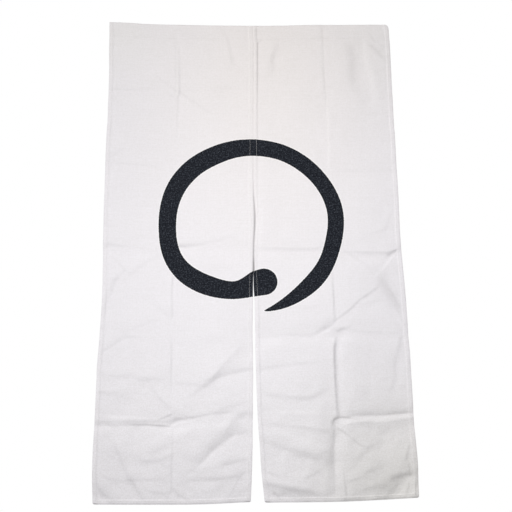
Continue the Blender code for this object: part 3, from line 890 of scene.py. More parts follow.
@dataclass(frozen=True)
class Brushstroke:
    """A broad ring drawn with one turn of a brush, from a round start low on the right to a thin tail.

    The angle runs clockwise from six o'clock, as seen from the front.
    """

    centre_x: float = 0.006
    centre_drop: float = 0.655
    radius: float = 0.2450
    oval: float = 0.0085
    half_width: float = 0.0255
    head_radius: float = 0.0415
    head_reach: float = 0.25
    tip_radius: float = 0.0008
    taper_from: float = 5.45
    taper_power: float = 0.8
    end_angle: float = 6.15
    steps: int = 220
    radius_wander: Ripple = Ripple(0.40, 0.0016)
    width_wander: Ripple = Ripple(0.30, 0.0008)
    # The first two curl the start inwards and run the tail outwards.
    radius_swells: tuple[Swell, ...] = (
        Swell(STROKE_START, 0.35, -0.039),
        Swell(FULL_TURN, 0.60, 0.050),
        Swell(1.00, 0.38, 0.017),
        Swell(5.45, 0.45, 0.015),
        Swell(1.95, 0.40, 0.0034),
        Swell(4.00, 0.50, -0.0015),
        Swell(4.65, 0.40, 0.0036),
        Swell(0.38, 0.25, -0.0032),
    )
    width_swells: tuple[Swell, ...] = (
        Swell(2.40, 0.70, 0.0054),
        Swell(4.50, 0.60, -0.0008),
        Swell(0.65, 0.40, 0.0050),
    )

    def swollen(self, size: np.ndarray | float, swells: Sequence[Swell], angle: np.ndarray) -> np.ndarray:
        """A size with some swells added to it."""
        for swell in swells:
            size = size + swell.height * bell(angle, swell.angle, swell.reach)
        return size

    def middle(self, angle: np.ndarray) -> tuple[np.ndarray, np.ndarray]:
        """Middle line of the stroke.

        Args:
            angle: angles round the ring.

        Returns:
            The x and drop at each angle.
        """
        radius = self.swollen(self.radius - self.oval * np.cos(2 * angle), self.radius_swells, angle)
        wander = lattice_noise(angle, 0.0, self.radius_wander.spacing, Pattern.RING_RADIUS)
        radius = radius + self.radius_wander.height * wander
        return self.centre_x - radius * np.sin(angle), self.centre_drop + radius * np.cos(angle)

    def half_width_at(self, angle: np.ndarray) -> np.ndarray:
        """Half the stroke's width, with the pressed start, a fuller left side and the lifted tail."""
        width = self.swollen(self.half_width, self.width_swells, angle)
        wander = lattice_noise(angle, 0.0, self.width_wander.spacing, Pattern.RING_WIDTH)
        width = width + self.width_wander.height * wander
        width = width + (self.head_radius - width) * bell(angle, STROKE_START, self.head_reach)
        left = np.clip((self.end_angle - angle) / (self.end_angle - self.taper_from), 0, 1)
        return self.tip_radius + (width - self.tip_radius) * np.sin(left * math.pi / 2) ** self.taper_power

    def distance(self, x: np.ndarray, drop: np.ndarray) -> np.ndarray:
        """Distance from places to the stroke's edge, negative inside it."""
        angles = np.linspace(STROKE_START, self.end_angle, self.steps + 1)
        route_x, route_drop = self.middle(angles)
        widths = self.half_width_at(angles)
        nearest = np.full(x.shape, np.inf)
        for k in range(self.steps):
            a, b = (route_x[k], route_drop[k]), (route_x[k + 1], route_drop[k + 1])
            off, share = along_segment(x, drop, a, b)
            nearest = np.minimum(nearest, off - widths[k] - (widths[k + 1] - widths[k]) * share)
        return nearest


class Sketch:
    """A small hand for wiring a material's nodes."""

    def __init__(self, name: str) -> None:
        """Start a new material with an empty Principled shader."""
        self.material = bpy.data.materials.new(name)
        self.material.use_nodes = True
        self.tree = self.material.node_tree
        self.shader = self.tree.nodes["Principled BSDF"]

    def node(self, kind: str, **settings: object) -> bpy.types.Node:
        """Add a node and set its plain properties."""
        made = self.tree.nodes.new(kind)
        for name, value in settings.items():
            setattr(made, name, value)
        return made

    def feed(self, socket: bpy.types.NodeSocket, value: object) -> None:
        """Give a socket a link from another socket, or a plain value."""
        if isinstance(value, bpy.types.NodeSocket):
            self.tree.links.new(value, socket)
        else:
            socket.default_value = value

    def mark(self, name: str) -> bpy.types.NodeSocket:
        """A value that the mesh carries at its points."""
        return self.node("ShaderNodeAttribute", attribute_name=name).outputs["Fac"]

    def math(self, operation: str, first: object, second: object = 0.0) -> bpy.types.NodeSocket:
        """One Math node.

        Args:
            operation: name of the node's operation.
            first: socket or number.
            second: socket or number.

        Returns:
            The result's socket.
        """
        made = self.node("ShaderNodeMath", operation=operation)
        self.feed(made.inputs[0], first)
        self.feed(made.inputs[1], second)
        return made.outputs[0]

    def ramp(self, value: object, span: Span, become: Span = (0.0, 1.0)) -> object:
        """Smooth step of a value over a span, mapped to another span."""
        made = self.node("ShaderNodeMapRange", interpolation_type="SMOOTHSTEP")
        for socket, number in zip(made.inputs[:5], (value, *span, *become)):
            self.feed(socket, number)
        return made.outputs[0]

    def noise(self, vector: object, scale: float, detail: float = 2.0, roughness: float = 0.5) -> object:
        """Noise about 0.5 on a vector."""
        made = self.node("ShaderNodeTexNoise")
        self.feed(made.inputs["Vector"], vector)
        self.feed(made.inputs["Scale"], scale)
        self.feed(made.inputs["Detail"], detail)
        self.feed(made.inputs["Roughness"], roughness)
        return made.outputs["Fac"]

    def drawn_out(self, vector: object, scale: Span, detail: float, roughness: float) -> object:
        """Noise on a vector that is stretched along its first two axes."""
        made = self.node("ShaderNodeVectorMath", operation="MULTIPLY")
        self.feed(made.inputs[0], vector)
        self.feed(made.inputs[1], (*scale, 1.0))
        return self.noise(made.outputs[0], 1.0, detail, roughness)

    def mixed(self, share: object, first: object, second: object) -> object:
        """Colour between two colours."""
        made = self.node("ShaderNodeMix", data_type="RGBA")
        self.feed(made.inputs["Factor"], share)
        self.feed(made.inputs[6], first)
        self.feed(made.inputs[7], second)
        return made.outputs[2]

    def bump(self, height: object, strength: float, distance: float, under: object = None) -> object:
        """Normal of a bumpy surface, over another normal where one is given."""
        made = self.node("ShaderNodeBump")
        self.feed(made.inputs["Strength"], strength)
        self.feed(made.inputs["Distance"], distance)
        self.feed(made.inputs["Height"], height)
        if under is not None:
            self.feed(made.inputs["Normal"], under)
        return made.outputs[0]


@dataclass(frozen=True)
class CottonFinish:
    """Plain-woven cotton canvas with an indigo brushstroke dyed into it.

    A noise's scale is in bumps a metre along the cloth map's two axes, and a depth is in metres. A span is
    where a smooth step starts and ends, and a growth is what it goes from and to.
    """

    name: str
    ink_share: float
    cotton: Colour = (0.840, 0.819, 0.856, 1.0)
    slub: Colour = (0.780, 0.760, 0.785, 1.0)
    seed: Colour = (0.42, 0.37, 0.33, 1.0)
    clean: Colour = (0.96, 0.95, 0.96, 1.0)
    # Painted light and shade: warm light over the top, the yellow cast of shade at the corners, and the dark
    # of shade in creases and broad patches.
    painted_warm_light: Colour = (1.0, 0.72, 0.20, 1.0)
    painted_corner_shade: Colour = (0.80, 0.83, 0.10, 1.0)
    painted_shade_tint: Colour = (0.10, 0.095, 0.08, 1.0)
    ink: Colour = (0.0070, 0.0085, 0.0130, 1.0)
    pooled: Colour = (0.0035, 0.0045, 0.0075, 1.0)
    fleck: Colour = (0.072, 0.080, 0.098, 1.0)
    thread_pitch: float = 0.00075
    weave_depth: float = 0.00012
    yarn_scale: Span = (60.0, 900.0)
    yarn_depth: float = 0.00045
    band_scale: Span = (10.0, 260.0)
    slub_span: Span = (1.58, 2.28)
    seed_scale: Span = (130.0, 330.0)
    seed_span: Span = (0.80, 0.86)
    mottle_scale: float = 160.0
    crinkle_scale: float = 55.0
    crinkle_depth: float = 0.0016
    crinkle_growth: Span = (1.0, 2.4)
    grain_scale: float = 230.0
    grain_span: Span = (0.38, 0.62)
    grain_growth: Span = (0.02, 0.15)
    low_grain: Span = (0.90, 1.45)
    low_crinkle: Span = (0.95, 1.50)
    wear_span: Span = (0.86, 1.16)
    fray_scale: float = 300.0
    fray: float = 0.0040
    bleed: float = 0.0008
    pooled_edge: Span = (-0.0036, -0.0012)
    clean_edge: Span = (0.0034, 0.0012)
    roughness: Span = (0.82, 0.94)

    def crossed(self, s: Sketch, cloth: object, scale: Span, detail: float) -> tuple[object, object]:
        """Noise drawn out along the weft, and the same along the warp."""
        return s.drawn_out(cloth, scale, detail, 0.6), s.drawn_out(cloth, scale[::-1], detail, 0.6)

    def weave(self, s: Sketch, across: object, along: object) -> object:
        """Height of the plain weave."""
        turn = math.pi / self.thread_pitch
        over, under = (s.math("SINE", s.math("MULTIPLY", way, turn)) for way in (across, along))
        return s.math("MULTIPLY", over, under)

    def dyed(self, s: Sketch, cloth: object, threads: object, edge: object) -> object:
        """Colour of the inked cloth: worn on its threads, and darkest just inside the stroke's edge."""
        wear = s.math("ADD", s.noise(cloth, self.grain_scale, 3.0, 0.75), s.math("MULTIPLY", threads, 0.40))
        worn = s.mixed(s.ramp(wear, self.wear_span), self.ink, self.fleck)
        return s.mixed(s.ramp(edge, self.pooled_edge, (0.0, 0.8)), worn, self.pooled)

    def undyed(self, s: Sketch, cloth: object, tone: object, edge: object, along: object) -> object:
        """Colour of the plain cloth: slubs, seed flecks, a grain that grows downwards, and its marks of
        painted warm light and painted shade.

        Args:
            s: the material's sketch.
            cloth: the cloth map.
            tone: how light the yarns are.
            edge: distance from the stroke's edge, beside which the cloth is clean.
            along: how far down the cloth each place is.

        Returns:
            The colour's socket.
        """
        colour = s.mixed(s.ramp(tone, self.slub_span), self.slub, self.cotton)
        seeds = s.drawn_out(cloth, self.seed_scale, 1.0, 0.5)
        colour = s.mixed(s.ramp(seeds, self.seed_span, (0.0, 0.5)), colour, self.seed)
        coarse = s.ramp(along, self.low_grain, self.grain_growth)
        grain = s.ramp(s.noise(cloth, self.grain_scale, 3.0, 0.7), self.grain_span)
        colour = s.mixed(coarse, colour, self.clean)
        colour = s.mixed(s.math("MULTIPLY", grain, coarse), colour, self.seed)
        colour = s.mixed(s.ramp(edge, self.clean_edge, (0.0, 0.6)), colour, self.clean)
        # These marks paint light and shade into the colour: warm light, the yellow cast of shade at the
        # corners, and the dark of shade in creases and broad patches.
        for mark, tint in (("painted_warm_light", self.painted_warm_light), ("painted_corner_shade", self.painted_corner_shade), ("painted_shade", self.painted_shade_tint)):
            colour = s.mixed(s.mark(mark), colour, tint)
        return colour

    def material(self) -> bpy.types.Material:
        """Wire the cotton's material.

        Returns:
            The material.
        """
        s = Sketch(self.name)
        cloth = s.node("ShaderNodeUVMap", uv_map="cloth").outputs[0]
        split = s.node("ShaderNodeSeparateXYZ")
        s.feed(split.inputs[0], cloth)
        across, along = split.outputs[0], split.outputs[1]
        threads = s.math("ADD", *self.crossed(s, cloth, self.yarn_scale, 3.0))
        bands, stripes = self.crossed(s, cloth, self.band_scale, 2.0)
        streaks = s.math("ADD", bands, s.math("MULTIPLY", stripes, 0.7))
        mottle = s.noise(cloth, self.mottle_scale, 4.0, 0.65)
        tone = s.math("ADD", s.math("ADD", threads, mottle), s.math("MULTIPLY", streaks, 0.5))

        frayed = s.math("SUBTRACT", s.noise(cloth, self.fray_scale, 3.0, 0.7), 0.5)
        edge = s.math("ADD", s.mark("brush"), s.math("MULTIPLY", frayed, self.fray))
        inked = s.ramp(edge, (self.bleed, -self.bleed), (0.0, self.ink_share))
        plain = self.undyed(s, cloth, tone, edge, along)
        s.feed(s.shader.inputs["Base Color"], s.mixed(inked, plain, self.dyed(s, cloth, threads, edge)))

        crinkle = s.noise(cloth, self.crinkle_scale, 5.0, 0.6)
        grown = s.math("MULTIPLY", crinkle, s.ramp(along, self.low_crinkle, self.crinkle_growth))
        normal = s.bump(grown, 0.35, self.crinkle_depth)
        normal = s.bump(threads, 0.40, self.yarn_depth, normal)
        normal = s.bump(self.weave(s, across, along), 0.35, self.weave_depth, normal)
        s.feed(s.shader.inputs["Normal"], normal)
        s.feed(s.shader.inputs["Roughness"], s.ramp(mottle, (0.3, 0.7), self.roughness))
        s.shader.inputs["Specular IOR Level"].default_value = 0.10
        s.shader.inputs["Sheen Weight"].default_value = 0.02
        s.shader.inputs["Sheen Roughness"].default_value = 0.6
        return s.material


@dataclass(frozen=True)
class ThreadFinish:
    """Off-white sewing thread, twisted."""

    name: str = "sewing_thread"
    colour: Colour = (0.80, 0.78, 0.77, 1.0)
    # The darker colour is painted shade in the grooves between the twisted strands, where the bump is low.
    shade: Colour = (0.66, 0.64, 0.63, 1.0)
    strand_scale: float = 111.11
    strand_depth: float = 0.0001
    roughness: Span = (0.55, 0.75)

    def material(self) -> bpy.types.Material:
        """Wire the thread's material.

        Returns:
            The material.
        """
        s = Sketch(self.name)
        place = s.node("ShaderNodeTexCoord").outputs["Object"]
        strands = s.node("ShaderNodeTexWave", bands_direction="DIAGONAL")
        s.feed(strands.inputs["Vector"], place)
        s.feed(strands.inputs["Scale"], self.strand_scale)
        s.feed(strands.inputs["Distortion"], 1.5)
        s.feed(s.shader.inputs["Base Color"], s.mixed(strands.outputs["Fac"], self.shade, self.colour))
        s.feed(s.shader.inputs["Normal"], s.bump(strands.outputs["Fac"], 0.4, self.strand_depth))
        s.feed(s.shader.inputs["Roughness"], s.ramp(s.noise(place, 300.0), (0.3, 0.7), self.roughness))
        return s.material


@dataclass(frozen=True)
class FloorFinish:
    """Plain pale studio floor."""

    name: str = "studio_floor"
    colour: Colour = (0.68, 0.68, 0.68, 1.0)
    roughness: Span = (0.6, 0.7)

    def material(self) -> bpy.types.Material:
        """Wire the floor's material."""
        s = Sketch(self.name)
        place = s.node("ShaderNodeTexCoord").outputs["Object"]
        s.feed(s.shader.inputs["Base Color"], self.colour)
        s.feed(s.shader.inputs["Roughness"], s.ramp(s.noise(place, 3.0), (0.3, 0.7), self.roughness))
        return s.material


def clear_selection() -> None:
    """Deselect every object."""
    for item in bpy.context.selected_objects:
        item.select_set(False)


@dataclass
class Panel:
    """One half of the curtain: a length of cotton with turned side hems, a bottom hem and a rod pocket."""

    # How far along its cloth map each panel starts, so that the two weaves differ.
    map_shift: ClassVar[dict[Side, float]] = {Side.LEFT: 0.0, Side.RIGHT: 0.7}
    # The lines of the sway's pattern that a panel's outer side and its slit side follow.
    sway_lines: ClassVar[dict[Side, Span]] = {Side.LEFT: (-1.0, 3.0), Side.RIGHT: (1.0, -3.0)}

    side: Side
    relief: Relief
    stroke: Brushstroke
    column_spacing: float = 0.0038
    row_spacing: float = 0.0036
    fine_spacing: float = 0.0017
    fine_reach: float = 0.009
    reverse_spacing: float = 0.0100
    # The rows up the pocket's back, from above its stitching to the crest.
    pocket_drops: tuple[float, ...] = (0.046, 0.041, 0.036, 0.031, 0.026, 0.019, 0.013)
    # The slit side sways from this drop on, and fully after this length.
    slit_from: float = 0.86
    slit_over: float = 0.1
    # The flat size, width then length, which the build measures.
    cut: Span = field(default=(0.0, 0.0), init=False)

    @property
    def name(self) -> str:
        """The panel's name, as its node in the frame."""
        return self.side.value + "_panel"

    def stations(self) -> Stations:
        """Places across the panel in the cloth's own order, from one turned-in raw edge to the other.

        Returns:
            The stations.
        """
        p = LAYER_PITCH
        round_edge = np.radians([45.0, 90.0, 135.0])
        turned = HEM_WIDTH - np.array([TURNED_EDGE, TURNED_EDGE / 2, p / 2])
        back = np.array([HEM_WIDTH - p / 2, HEM_WIDTH / 2, HEM.insets[0], p])
        front = np.array([p, *HEM.insets])
        inset = np.concatenate([turned, [HEM_WIDTH], back, p - p * np.sin(round_edge), front])
        layer = np.concatenate(
            [turned * 0 + p, [1.5 * p], back * 0 + 2 * p, p + p * np.cos(round_edge), front * 0]
        )
        stack = hem_stack(inset)
        first = Stations(inset * 0, inset, layer, stack)
        last = Stations(inset[::-1] * 0 + 1, -inset[::-1], layer[::-1], stack[::-1])
        margin = front[-1]
        span = abs(WIDTH_LEVEL.joint - getattr(WIDTH_LEVEL, self.side.value + "_edge")) - 2 * margin
        line = PRESS.left_share if self.side is Side.LEFT else PRESS.right_share
        coarse, fine, near = np.array([self.column_spacing, self.fine_spacing, self.fine_reach]) / span
        share = spaced(0, 1, coarse, fine, [line], near)[1:-1]
        middle = Stations(share, margin * (1 - 2 * share), share * 0, share * 0 + p)
        return stacked([first, middle, last])

    def rows(self) -> Rows:
        """Places down the panel in the cloth's own order, from the pocket's turned-in edge to the hem's.

        Returns:
            The rows.
        """
        half = np.radians([90.0])
        tail = POCKET_HEIGHT + POCKET_TAIL
        front_end = CLOTH_LENGTH - HEM.insets[-1]
        front = spaced(
            POCKET_RADIUS, front_end, self.row_spacing, self.fine_spacing, PRESS.drops, self.fine_reach
        )[1:]
        hem_front = CLOTH_LENGTH - np.array([*HEM.insets[-2:0:-1], *HEM.end_insets])
        hem_back = CLOTH_LENGTH - np.array([HEM.insets[0], HEM_WIDTH / 2, HEM_WIDTH - LAYER_PITCH])
        return stacked([
            turned_rows(np.array([tail - TURNED_EDGE, tail - TURNED_EDGE / 2, tail])),
            turn_rows(half, tail, up=False),
            pocket_rows(np.array([tail, POCKET_HEIGHT, *self.pocket_drops])),
            crest_rows(np.radians(np.linspace(-90, 90, 9))),
            front_rows(np.concatenate([front, hem_front])),
            bottom_rows(np.radians(np.linspace(0, 180, 5))),
            hem_back_rows(hem_back),
            turn_rows(half, CLOTH_LENGTH - HEM_WIDTH, up=True),
            turned_rows(CLOTH_LENGTH - np.array([HEM_WIDTH - LAYER_PITCH, HEM_WIDTH - TURNED_EDGE])),
        ])

    def edges(self, drop: np.ndarray) -> tuple[np.ndarray, np.ndarray]:
        """Where the panel's two sides stand at each drop, with their slight sway and round bottom corners.

        Args:
            drop: the drops.

        Returns:
            The x of the left side and of the right side.
        """
        joint = level_value("joint", drop)
        if self.side is Side.LEFT:
            left, right = level_value("left_edge", drop), joint - JOINT_GAP / 2
        else:
            left = joint + np.maximum(JOINT_GAP / 2, level_value("slit", drop))
            right = level_value("right_edge", drop)
        outer, inner = self.sway_lines[self.side]
        free = ease((drop - self.slit_from) / self.slit_over)
        sway = EDGE_SWAY.height * lattice_noise(drop, outer, EDGE_SWAY.spacing, Pattern.OUTER_SWAY)
        slit_sway = lattice_noise(drop, inner, EDGE_SWAY.spacing, Pattern.SLIT_SWAY)
        slit_sway = EDGE_SWAY.height * free * slit_sway
        rest = np.clip(drop - CLOTH_LENGTH + CORNER_RADIUS, 0, CORNER_RADIUS)
        rounding = CORNER_RADIUS - np.sqrt(CORNER_RADIUS**2 - rest**2)
        if self.side is Side.LEFT:
            return left + sway + rounding, right + slit_sway - rounding
        return left + slit_sway + rounding, right + sway - rounding

    def place(self, stations: Stations, rows: Rows) -> tuple[np.ndarray, np.ndarray, np.ndarray]:
        """Map stations and rows to space.

        Args:
            stations: places across the panel, which broadcast against the rows.
            rows: places down the panel.

        Returns:
            The x, y and z of the middle of the cloth's thickness.
        """
        depth = rows.depth + rows.depth_of_stack * stations.stack + rows.depth_of_layer * stations.layer
        drop = rows.drop + rows.drop_of_stack * stations.stack + rows.drop_of_layer * stations.layer
        left, right = self.edges(drop)
        x = left * (1 - stations.share) + right * stations.share + stations.shift
        from_left, from_right = x - left, right - x
        near = np.minimum(from_left, from_right)
        up = CLOTH_LENGTH - drop
        swell = 1 - ease((np.minimum(near, up) - HEM.swell_inset) / HEM.swell_fade)
        curl = HEM.end_curl * (1 - ease(up / HEM.end_curl_reach))
        curl = curl + HEM.side_curl * (1 - ease(near / HEM.side_curl_reach))
        side_hem, end_hem = (1 - ease((inset - HEM_WIDTH) / HEM.pucker_fade) for inset in (near, up))
        pucker = lattice_noise(drop, near, HEM_PUCKER.spacing, Pattern.SIDE_PUCKER) * side_hem
        pucker = pucker + lattice_noise(x, up, HEM_PUCKER.spacing, Pattern.END_PUCKER) * end_hem
        low = np.clip(drop / CLOTH_LENGTH, 0, 1)
        z = -drop + edge_rise(TOP_EDGE, x) * (1 - low) + edge_rise(BOTTOM_EDGE[self.side], x) * low
        depth = depth + self.relief.depth(x, -z) - HEM.swell * swell + curl + HEM_PUCKER.height * pucker
        if self.side is Side.RIGHT:
            depth = depth + level_value("tuck", drop) * (1 - ease(from_left / TUCK_WIDTH))
        return x, depth - POCKET_RADIUS + CLOTH_THICKNESS / 2, z

    def laid_grid(self, name: str, points: np.ndarray, cloth: np.ndarray) -> bpy.types.Object:
        """Lay a flat grid over one face of the cloth.

        Args:
            name: the grid's name.
            points: places in space, by column and line.
            cloth: flat cloth coordinates, by column and line.

        Returns:
            The grid's object, with its cloth map and its marks: how far each point is from the brushstroke,
            how much painted shade it gets in creases and broad patches, how much painted warm light, and how
            much painted shade towards the corners.
        """
        columns, lines = points.shape[:2]
        clear_selection()
        bpy.ops.mesh.primitive_grid_add(x_subdivisions=columns - 1, y_subdivisions=lines - 1, size=2.0)
        grid = bpy.context.object
        grid.name = grid.data.name = name
        mesh = grid.data
        flat = np.empty(len(mesh.vertices) * 3, np.float32)
        mesh.vertices.foreach_get("co", flat)
        flat = flat.reshape(-1, 3)
        column = np.rint((flat[:, 0] + 1) / 2 * (columns - 1)).astype(int)
        line = np.rint((1 - flat[:, 1]) / 2 * (lines - 1)).astype(int)
        laid = points[column, line]
        mesh.vertices.foreach_set("co", laid.astype(np.float32).ravel())
        x, drop = laid[:, 0], -laid[:, 2]
        values = {
            "brush": self.stroke.distance(x, drop),
            # Painted shade in the creases and broad patches, then painted warm light and painted shade
            # towards the corners.
            "painted_shade": self.relief.painted_shade(x, drop) + washed(PAINTED_SHADE_PATCHES, x, drop),
            "painted_warm_light": washed(PAINTED_WARM_LIGHT, x, drop),
            "painted_corner_shade": washed(PAINTED_CORNER_SHADE, x, drop),
        }
        for mark, value in values.items():
            marks = mesh.attributes.new(mark, "FLOAT", "POINT")
            marks.data.foreach_set("value", value.astype(np.float32))
        corner = np.empty(len(mesh.loops), np.int32)
        mesh.loops.foreach_get("vertex_index", corner)
        layer = mesh.uv_layers.active or mesh.uv_layers.new()
        layer.name = "cloth"
        layer.data.foreach_set("uv", cloth[column[corner], line[corner]].astype(np.float32).ravel())
        mesh.update()
        return grid

    def build(self) -> bpy.types.Object:
        """Make the panel: its face, its reverse, which needs fewer points, and the thin edge between them.

        Returns:
            The panel's object.
        """
        stations, rows = self.stations(), self.rows()
        across = Stations(*(v[:, None] for v in stations))
        down = Rows(*(v[None, :] for v in rows))
        middle = np.stack(self.place(across, down), 2)
        out = np.cross(np.gradient(middle, axis=1), np.gradient(middle, axis=0))
        out /= np.linalg.norm(out, axis=2, keepdims=True)
        wide = np.linalg.norm(np.diff(middle[:, middle.shape[1] // 2], axis=0), axis=1)
        long = np.linalg.norm(np.diff(middle[middle.shape[0] // 2], axis=0), axis=1)
        u, v = np.concatenate([[0], np.cumsum(wide)]), np.concatenate([[0], np.cumsum(long)])
        self.cut = (float(u[-1]), float(v[-1]))
        cloth = np.stack(np.broadcast_arrays(u[:, None] + self.map_shift[self.side], v[None, :]), 2)
        columns, lines = every_other(wide, self.reverse_spacing), every_other(long, self.reverse_spacing)
        face = self.laid_grid(self.name + "_cloth", middle + out * CLOTH_THICKNESS / 2, cloth)
        inside = middle - out * CLOTH_THICKNESS / 2
        thinned = inside[columns][:, lines], cloth[columns][:, lines]
        reverse = self.laid_grid(self.name + "_reverse", *thinned)
        face.data.materials.append(CottonFinish("cotton_face", ink_share=1.0).material())
        reverse.data.materials.append(CottonFinish("cotton_reverse", ink_share=0.97).material())
        self.close(face)
        return face

    def close(self, face: bpy.types.Object) -> None:
        """Turn the reverse, which is active, to face backwards, and sew it to the face along its edge."""
        bpy.ops.object.mode_set(mode="EDIT")
        bpy.ops.mesh.select_all(action="SELECT")
        bpy.ops.mesh.flip_normals()
        bpy.ops.object.mode_set(mode="OBJECT")
        face.select_set(True)
        bpy.context.view_layer.objects.active = face
        bpy.ops.object.join()
        bpy.ops.object.mode_set(mode="EDIT")
        bpy.ops.mesh.select_mode(type="EDGE")
        bpy.ops.mesh.select_all(action="DESELECT")
        bpy.ops.mesh.select_non_manifold(
            extend=False, use_wire=False, use_multi_face=False, use_non_contiguous=False, use_verts=False
        )
        bpy.ops.mesh.bridge_edge_loops()
        bpy.ops.object.mode_set(mode="OBJECT")
        bpy.ops.object.shade_smooth()


@dataclass
class Stitching:
    """All the visible thread of one panel: the rows that hold its hems and pocket, front and back."""

    panel: Panel
    pitch: float = 0.0033
    joining_pitch: float = 0.0050
    length: float = 0.0025
    thickness: float = 0.0006
    # From this share of its length a stitch's end dips; the dip and the rise are shares of its thickness.
    end_share: float = 0.45
    dip: float = 0.8
    proud: float = 0.15
    # The share of the panel that a row across it leaves free at each end, and where the side rows start.
    end_margin: float = 0.02
    front_start: float = 0.008
    back_start: float = POCKET_HEIGHT + 0.002
    lengthening: Span = (0.88, 1.08)
    lean: float = 0.09
    probe: float = 0.0006

    def one_stitch(self) -> tuple[np.ndarray, list[tuple[int, ...]]]:
        """Model one stitch: a thread that rises out of the cloth and dips back into it.

        Returns:
            Its vertices, with x across, y out of the cloth and z along, and its faces.
        """
        clear_selection()
        bpy.ops.mesh.primitive_uv_sphere_add(segments=6, ring_count=5, radius=1.0)
        stitch = bpy.context.object
        bpy.ops.object.mode_set(mode="EDIT")
        bpy.ops.mesh.select_all(action="SELECT")
        bpy.ops.transform.resize(value=(self.thickness / 2, self.thickness / 2, self.length / 2))
        bpy.ops.mesh.select_all(action="DESELECT")
        bpy.ops.object.mode_set(mode="OBJECT")
        for vertex in stitch.data.vertices:
            vertex.select = abs(vertex.co.z) > self.length * self.end_share
        bpy.ops.object.mode_set(mode="EDIT")
        bpy.ops.transform.translate(value=(0.0, -self.thickness * self.dip, 0.0))
        bpy.ops.object.mode_set(mode="OBJECT")
        points = np.array([v.co for v in stitch.data.vertices])
        faces = [tuple(p.vertices) for p in stitch.data.polygons]
        bpy.data.objects.remove(stitch, do_unlink=True)
        return points, faces

    def hem_points(self, share: float, shift: float, drops: np.ndarray, behind: bool) -> np.ndarray:
        """Places in space down a hem's front or back face.

        Args:
            share: share of the station across the panel.
            shift: shift of the station.
            drops: drop of each place.
            behind: whether the places are on the hem's back layer.

        Returns:
            The points, one to a drop.
        """
        rows = front_rows(drops)
        full = np.ones(drops.shape)
        layer = 2 * LAYER_PITCH if behind else 0.0
        stations = Stations(full * share, full * shift, full * layer, full * 3 * LAYER_PITCH)
        return np.stack(self.panel.place(stations, rows), 1)

    def side_row(self, at_left: bool, behind: bool, start: float, end: float) -> np.ndarray:
        """Frames of the stitches down one side hem.

        Args:
            at_left: whether it is the panel's left hem.
            behind: whether the row shows on the back.
            start: drop where it starts.
            end: drop where it ends.

        Returns:
            Four vectors for each stitch: its middle, and its across, out and along directions.
        """
        share, shift = (0.0, STITCH_INSET) if at_left else (1.0, -STITCH_INSET)
        drops = np.arange(start, end, self.pitch)

        def at(step_shift: float, step_drop: float) -> np.ndarray:
            """Points of the row, moved a little."""
            return self.hem_points(share, shift + step_shift, drops + step_drop, behind)

        return self.frames(at, behind)

    def joining_row(self) -> np.ndarray:
        """Frames of the overcast stitches at the back that join the left panel to the right one."""
        drops = np.arange(POCKET_HEIGHT + POCKET_TAIL, SEAM_END, self.joining_pitch)

        def at(step_shift: float, step_drop: float) -> np.ndarray:
            """Points of the row, moved a little."""
            return self.hem_points(1.0, JOINT_GAP / 2 + step_shift, drops + step_drop, True)

        return self.frames(at, behind=True, crosswise=True)

    def cross_row(self, drop: float, make: Callable[[np.ndarray], Rows], behind: bool) -> np.ndarray:
        """Frames of the stitches across the panel.

        Args:
            drop: the drop where the row runs.
            make: function that gives the rows of the layer that the stitches are on.
            behind: whether the row shows on the back.

        Returns:
            Four vectors for each stitch, as for a side row.
        """
        share = np.arange(self.end_margin, 1 - self.end_margin, self.pitch / self.panel.cut[0])

        def at(step_shift: float, step_drop: float) -> np.ndarray:
            """Points of the row, moved a little."""
            rows = make(np.full(share.shape, drop + step_drop))
            full = np.ones(share.shape)
            stations = Stations(share, full * step_shift, full * 0, full * LAYER_PITCH)
            return np.stack(self.panel.place(stations, rows), 1)

        return self.frames(at, behind, crosswise=True)

    def frames(
        self, at: Callable[[float, float], np.ndarray], behind: bool, crosswise: bool = False
    ) -> np.ndarray:
        """Work out where each stitch of a row lies and how it is turned.

        Args:
            at: function that gives the row's points, moved by a shift and a drop.
            behind: whether the row shows on the back.
            crosswise: whether the row runs across the panel.

        Returns:
            An array of each stitch's middle and its across, out and along directions.
        """
        right = at(self.probe, 0.0) - at(-self.probe, 0.0)
        down = at(0.0, self.probe) - at(0.0, -self.probe)
        out = np.cross(down, right)
        out /= np.linalg.norm(out, axis=1, keepdims=True)
        out *= np.where(out[:, 1:2] > 0, -1, 1) * (-1 if behind else 1)
        along = right if crosswise else down
        along /= np.linalg.norm(along, axis=1, keepdims=True)
        across = np.cross(out, along)
        middle = at(0.0, 0.0) + out * (CLOTH_THICKNESS / 2 + self.thickness * self.proud)
        return np.stack([middle, across, out, along], 1)

    def rows(self) -> list[np.ndarray]:
        """Frames of every row of the panel."""
        bottom = CLOTH_LENGTH - STITCH_INSET
        found = []
        for at_left in (True, False):
            for behind in (False, True):
                start = self.back_start if behind else self.front_start
                found.append(self.side_row(at_left, behind, start, bottom))
        found.append(self.cross_row(POCKET_HEIGHT, front_rows, behind=False))
        found.append(self.cross_row(POCKET_HEIGHT, pocket_rows, behind=True))
        found.append(self.cross_row(bottom, front_rows, behind=False))
        found.append(self.cross_row(bottom, hem_back_rows, behind=True))
        if self.panel.side is Side.LEFT:
            found.append(self.joining_row())
        return found

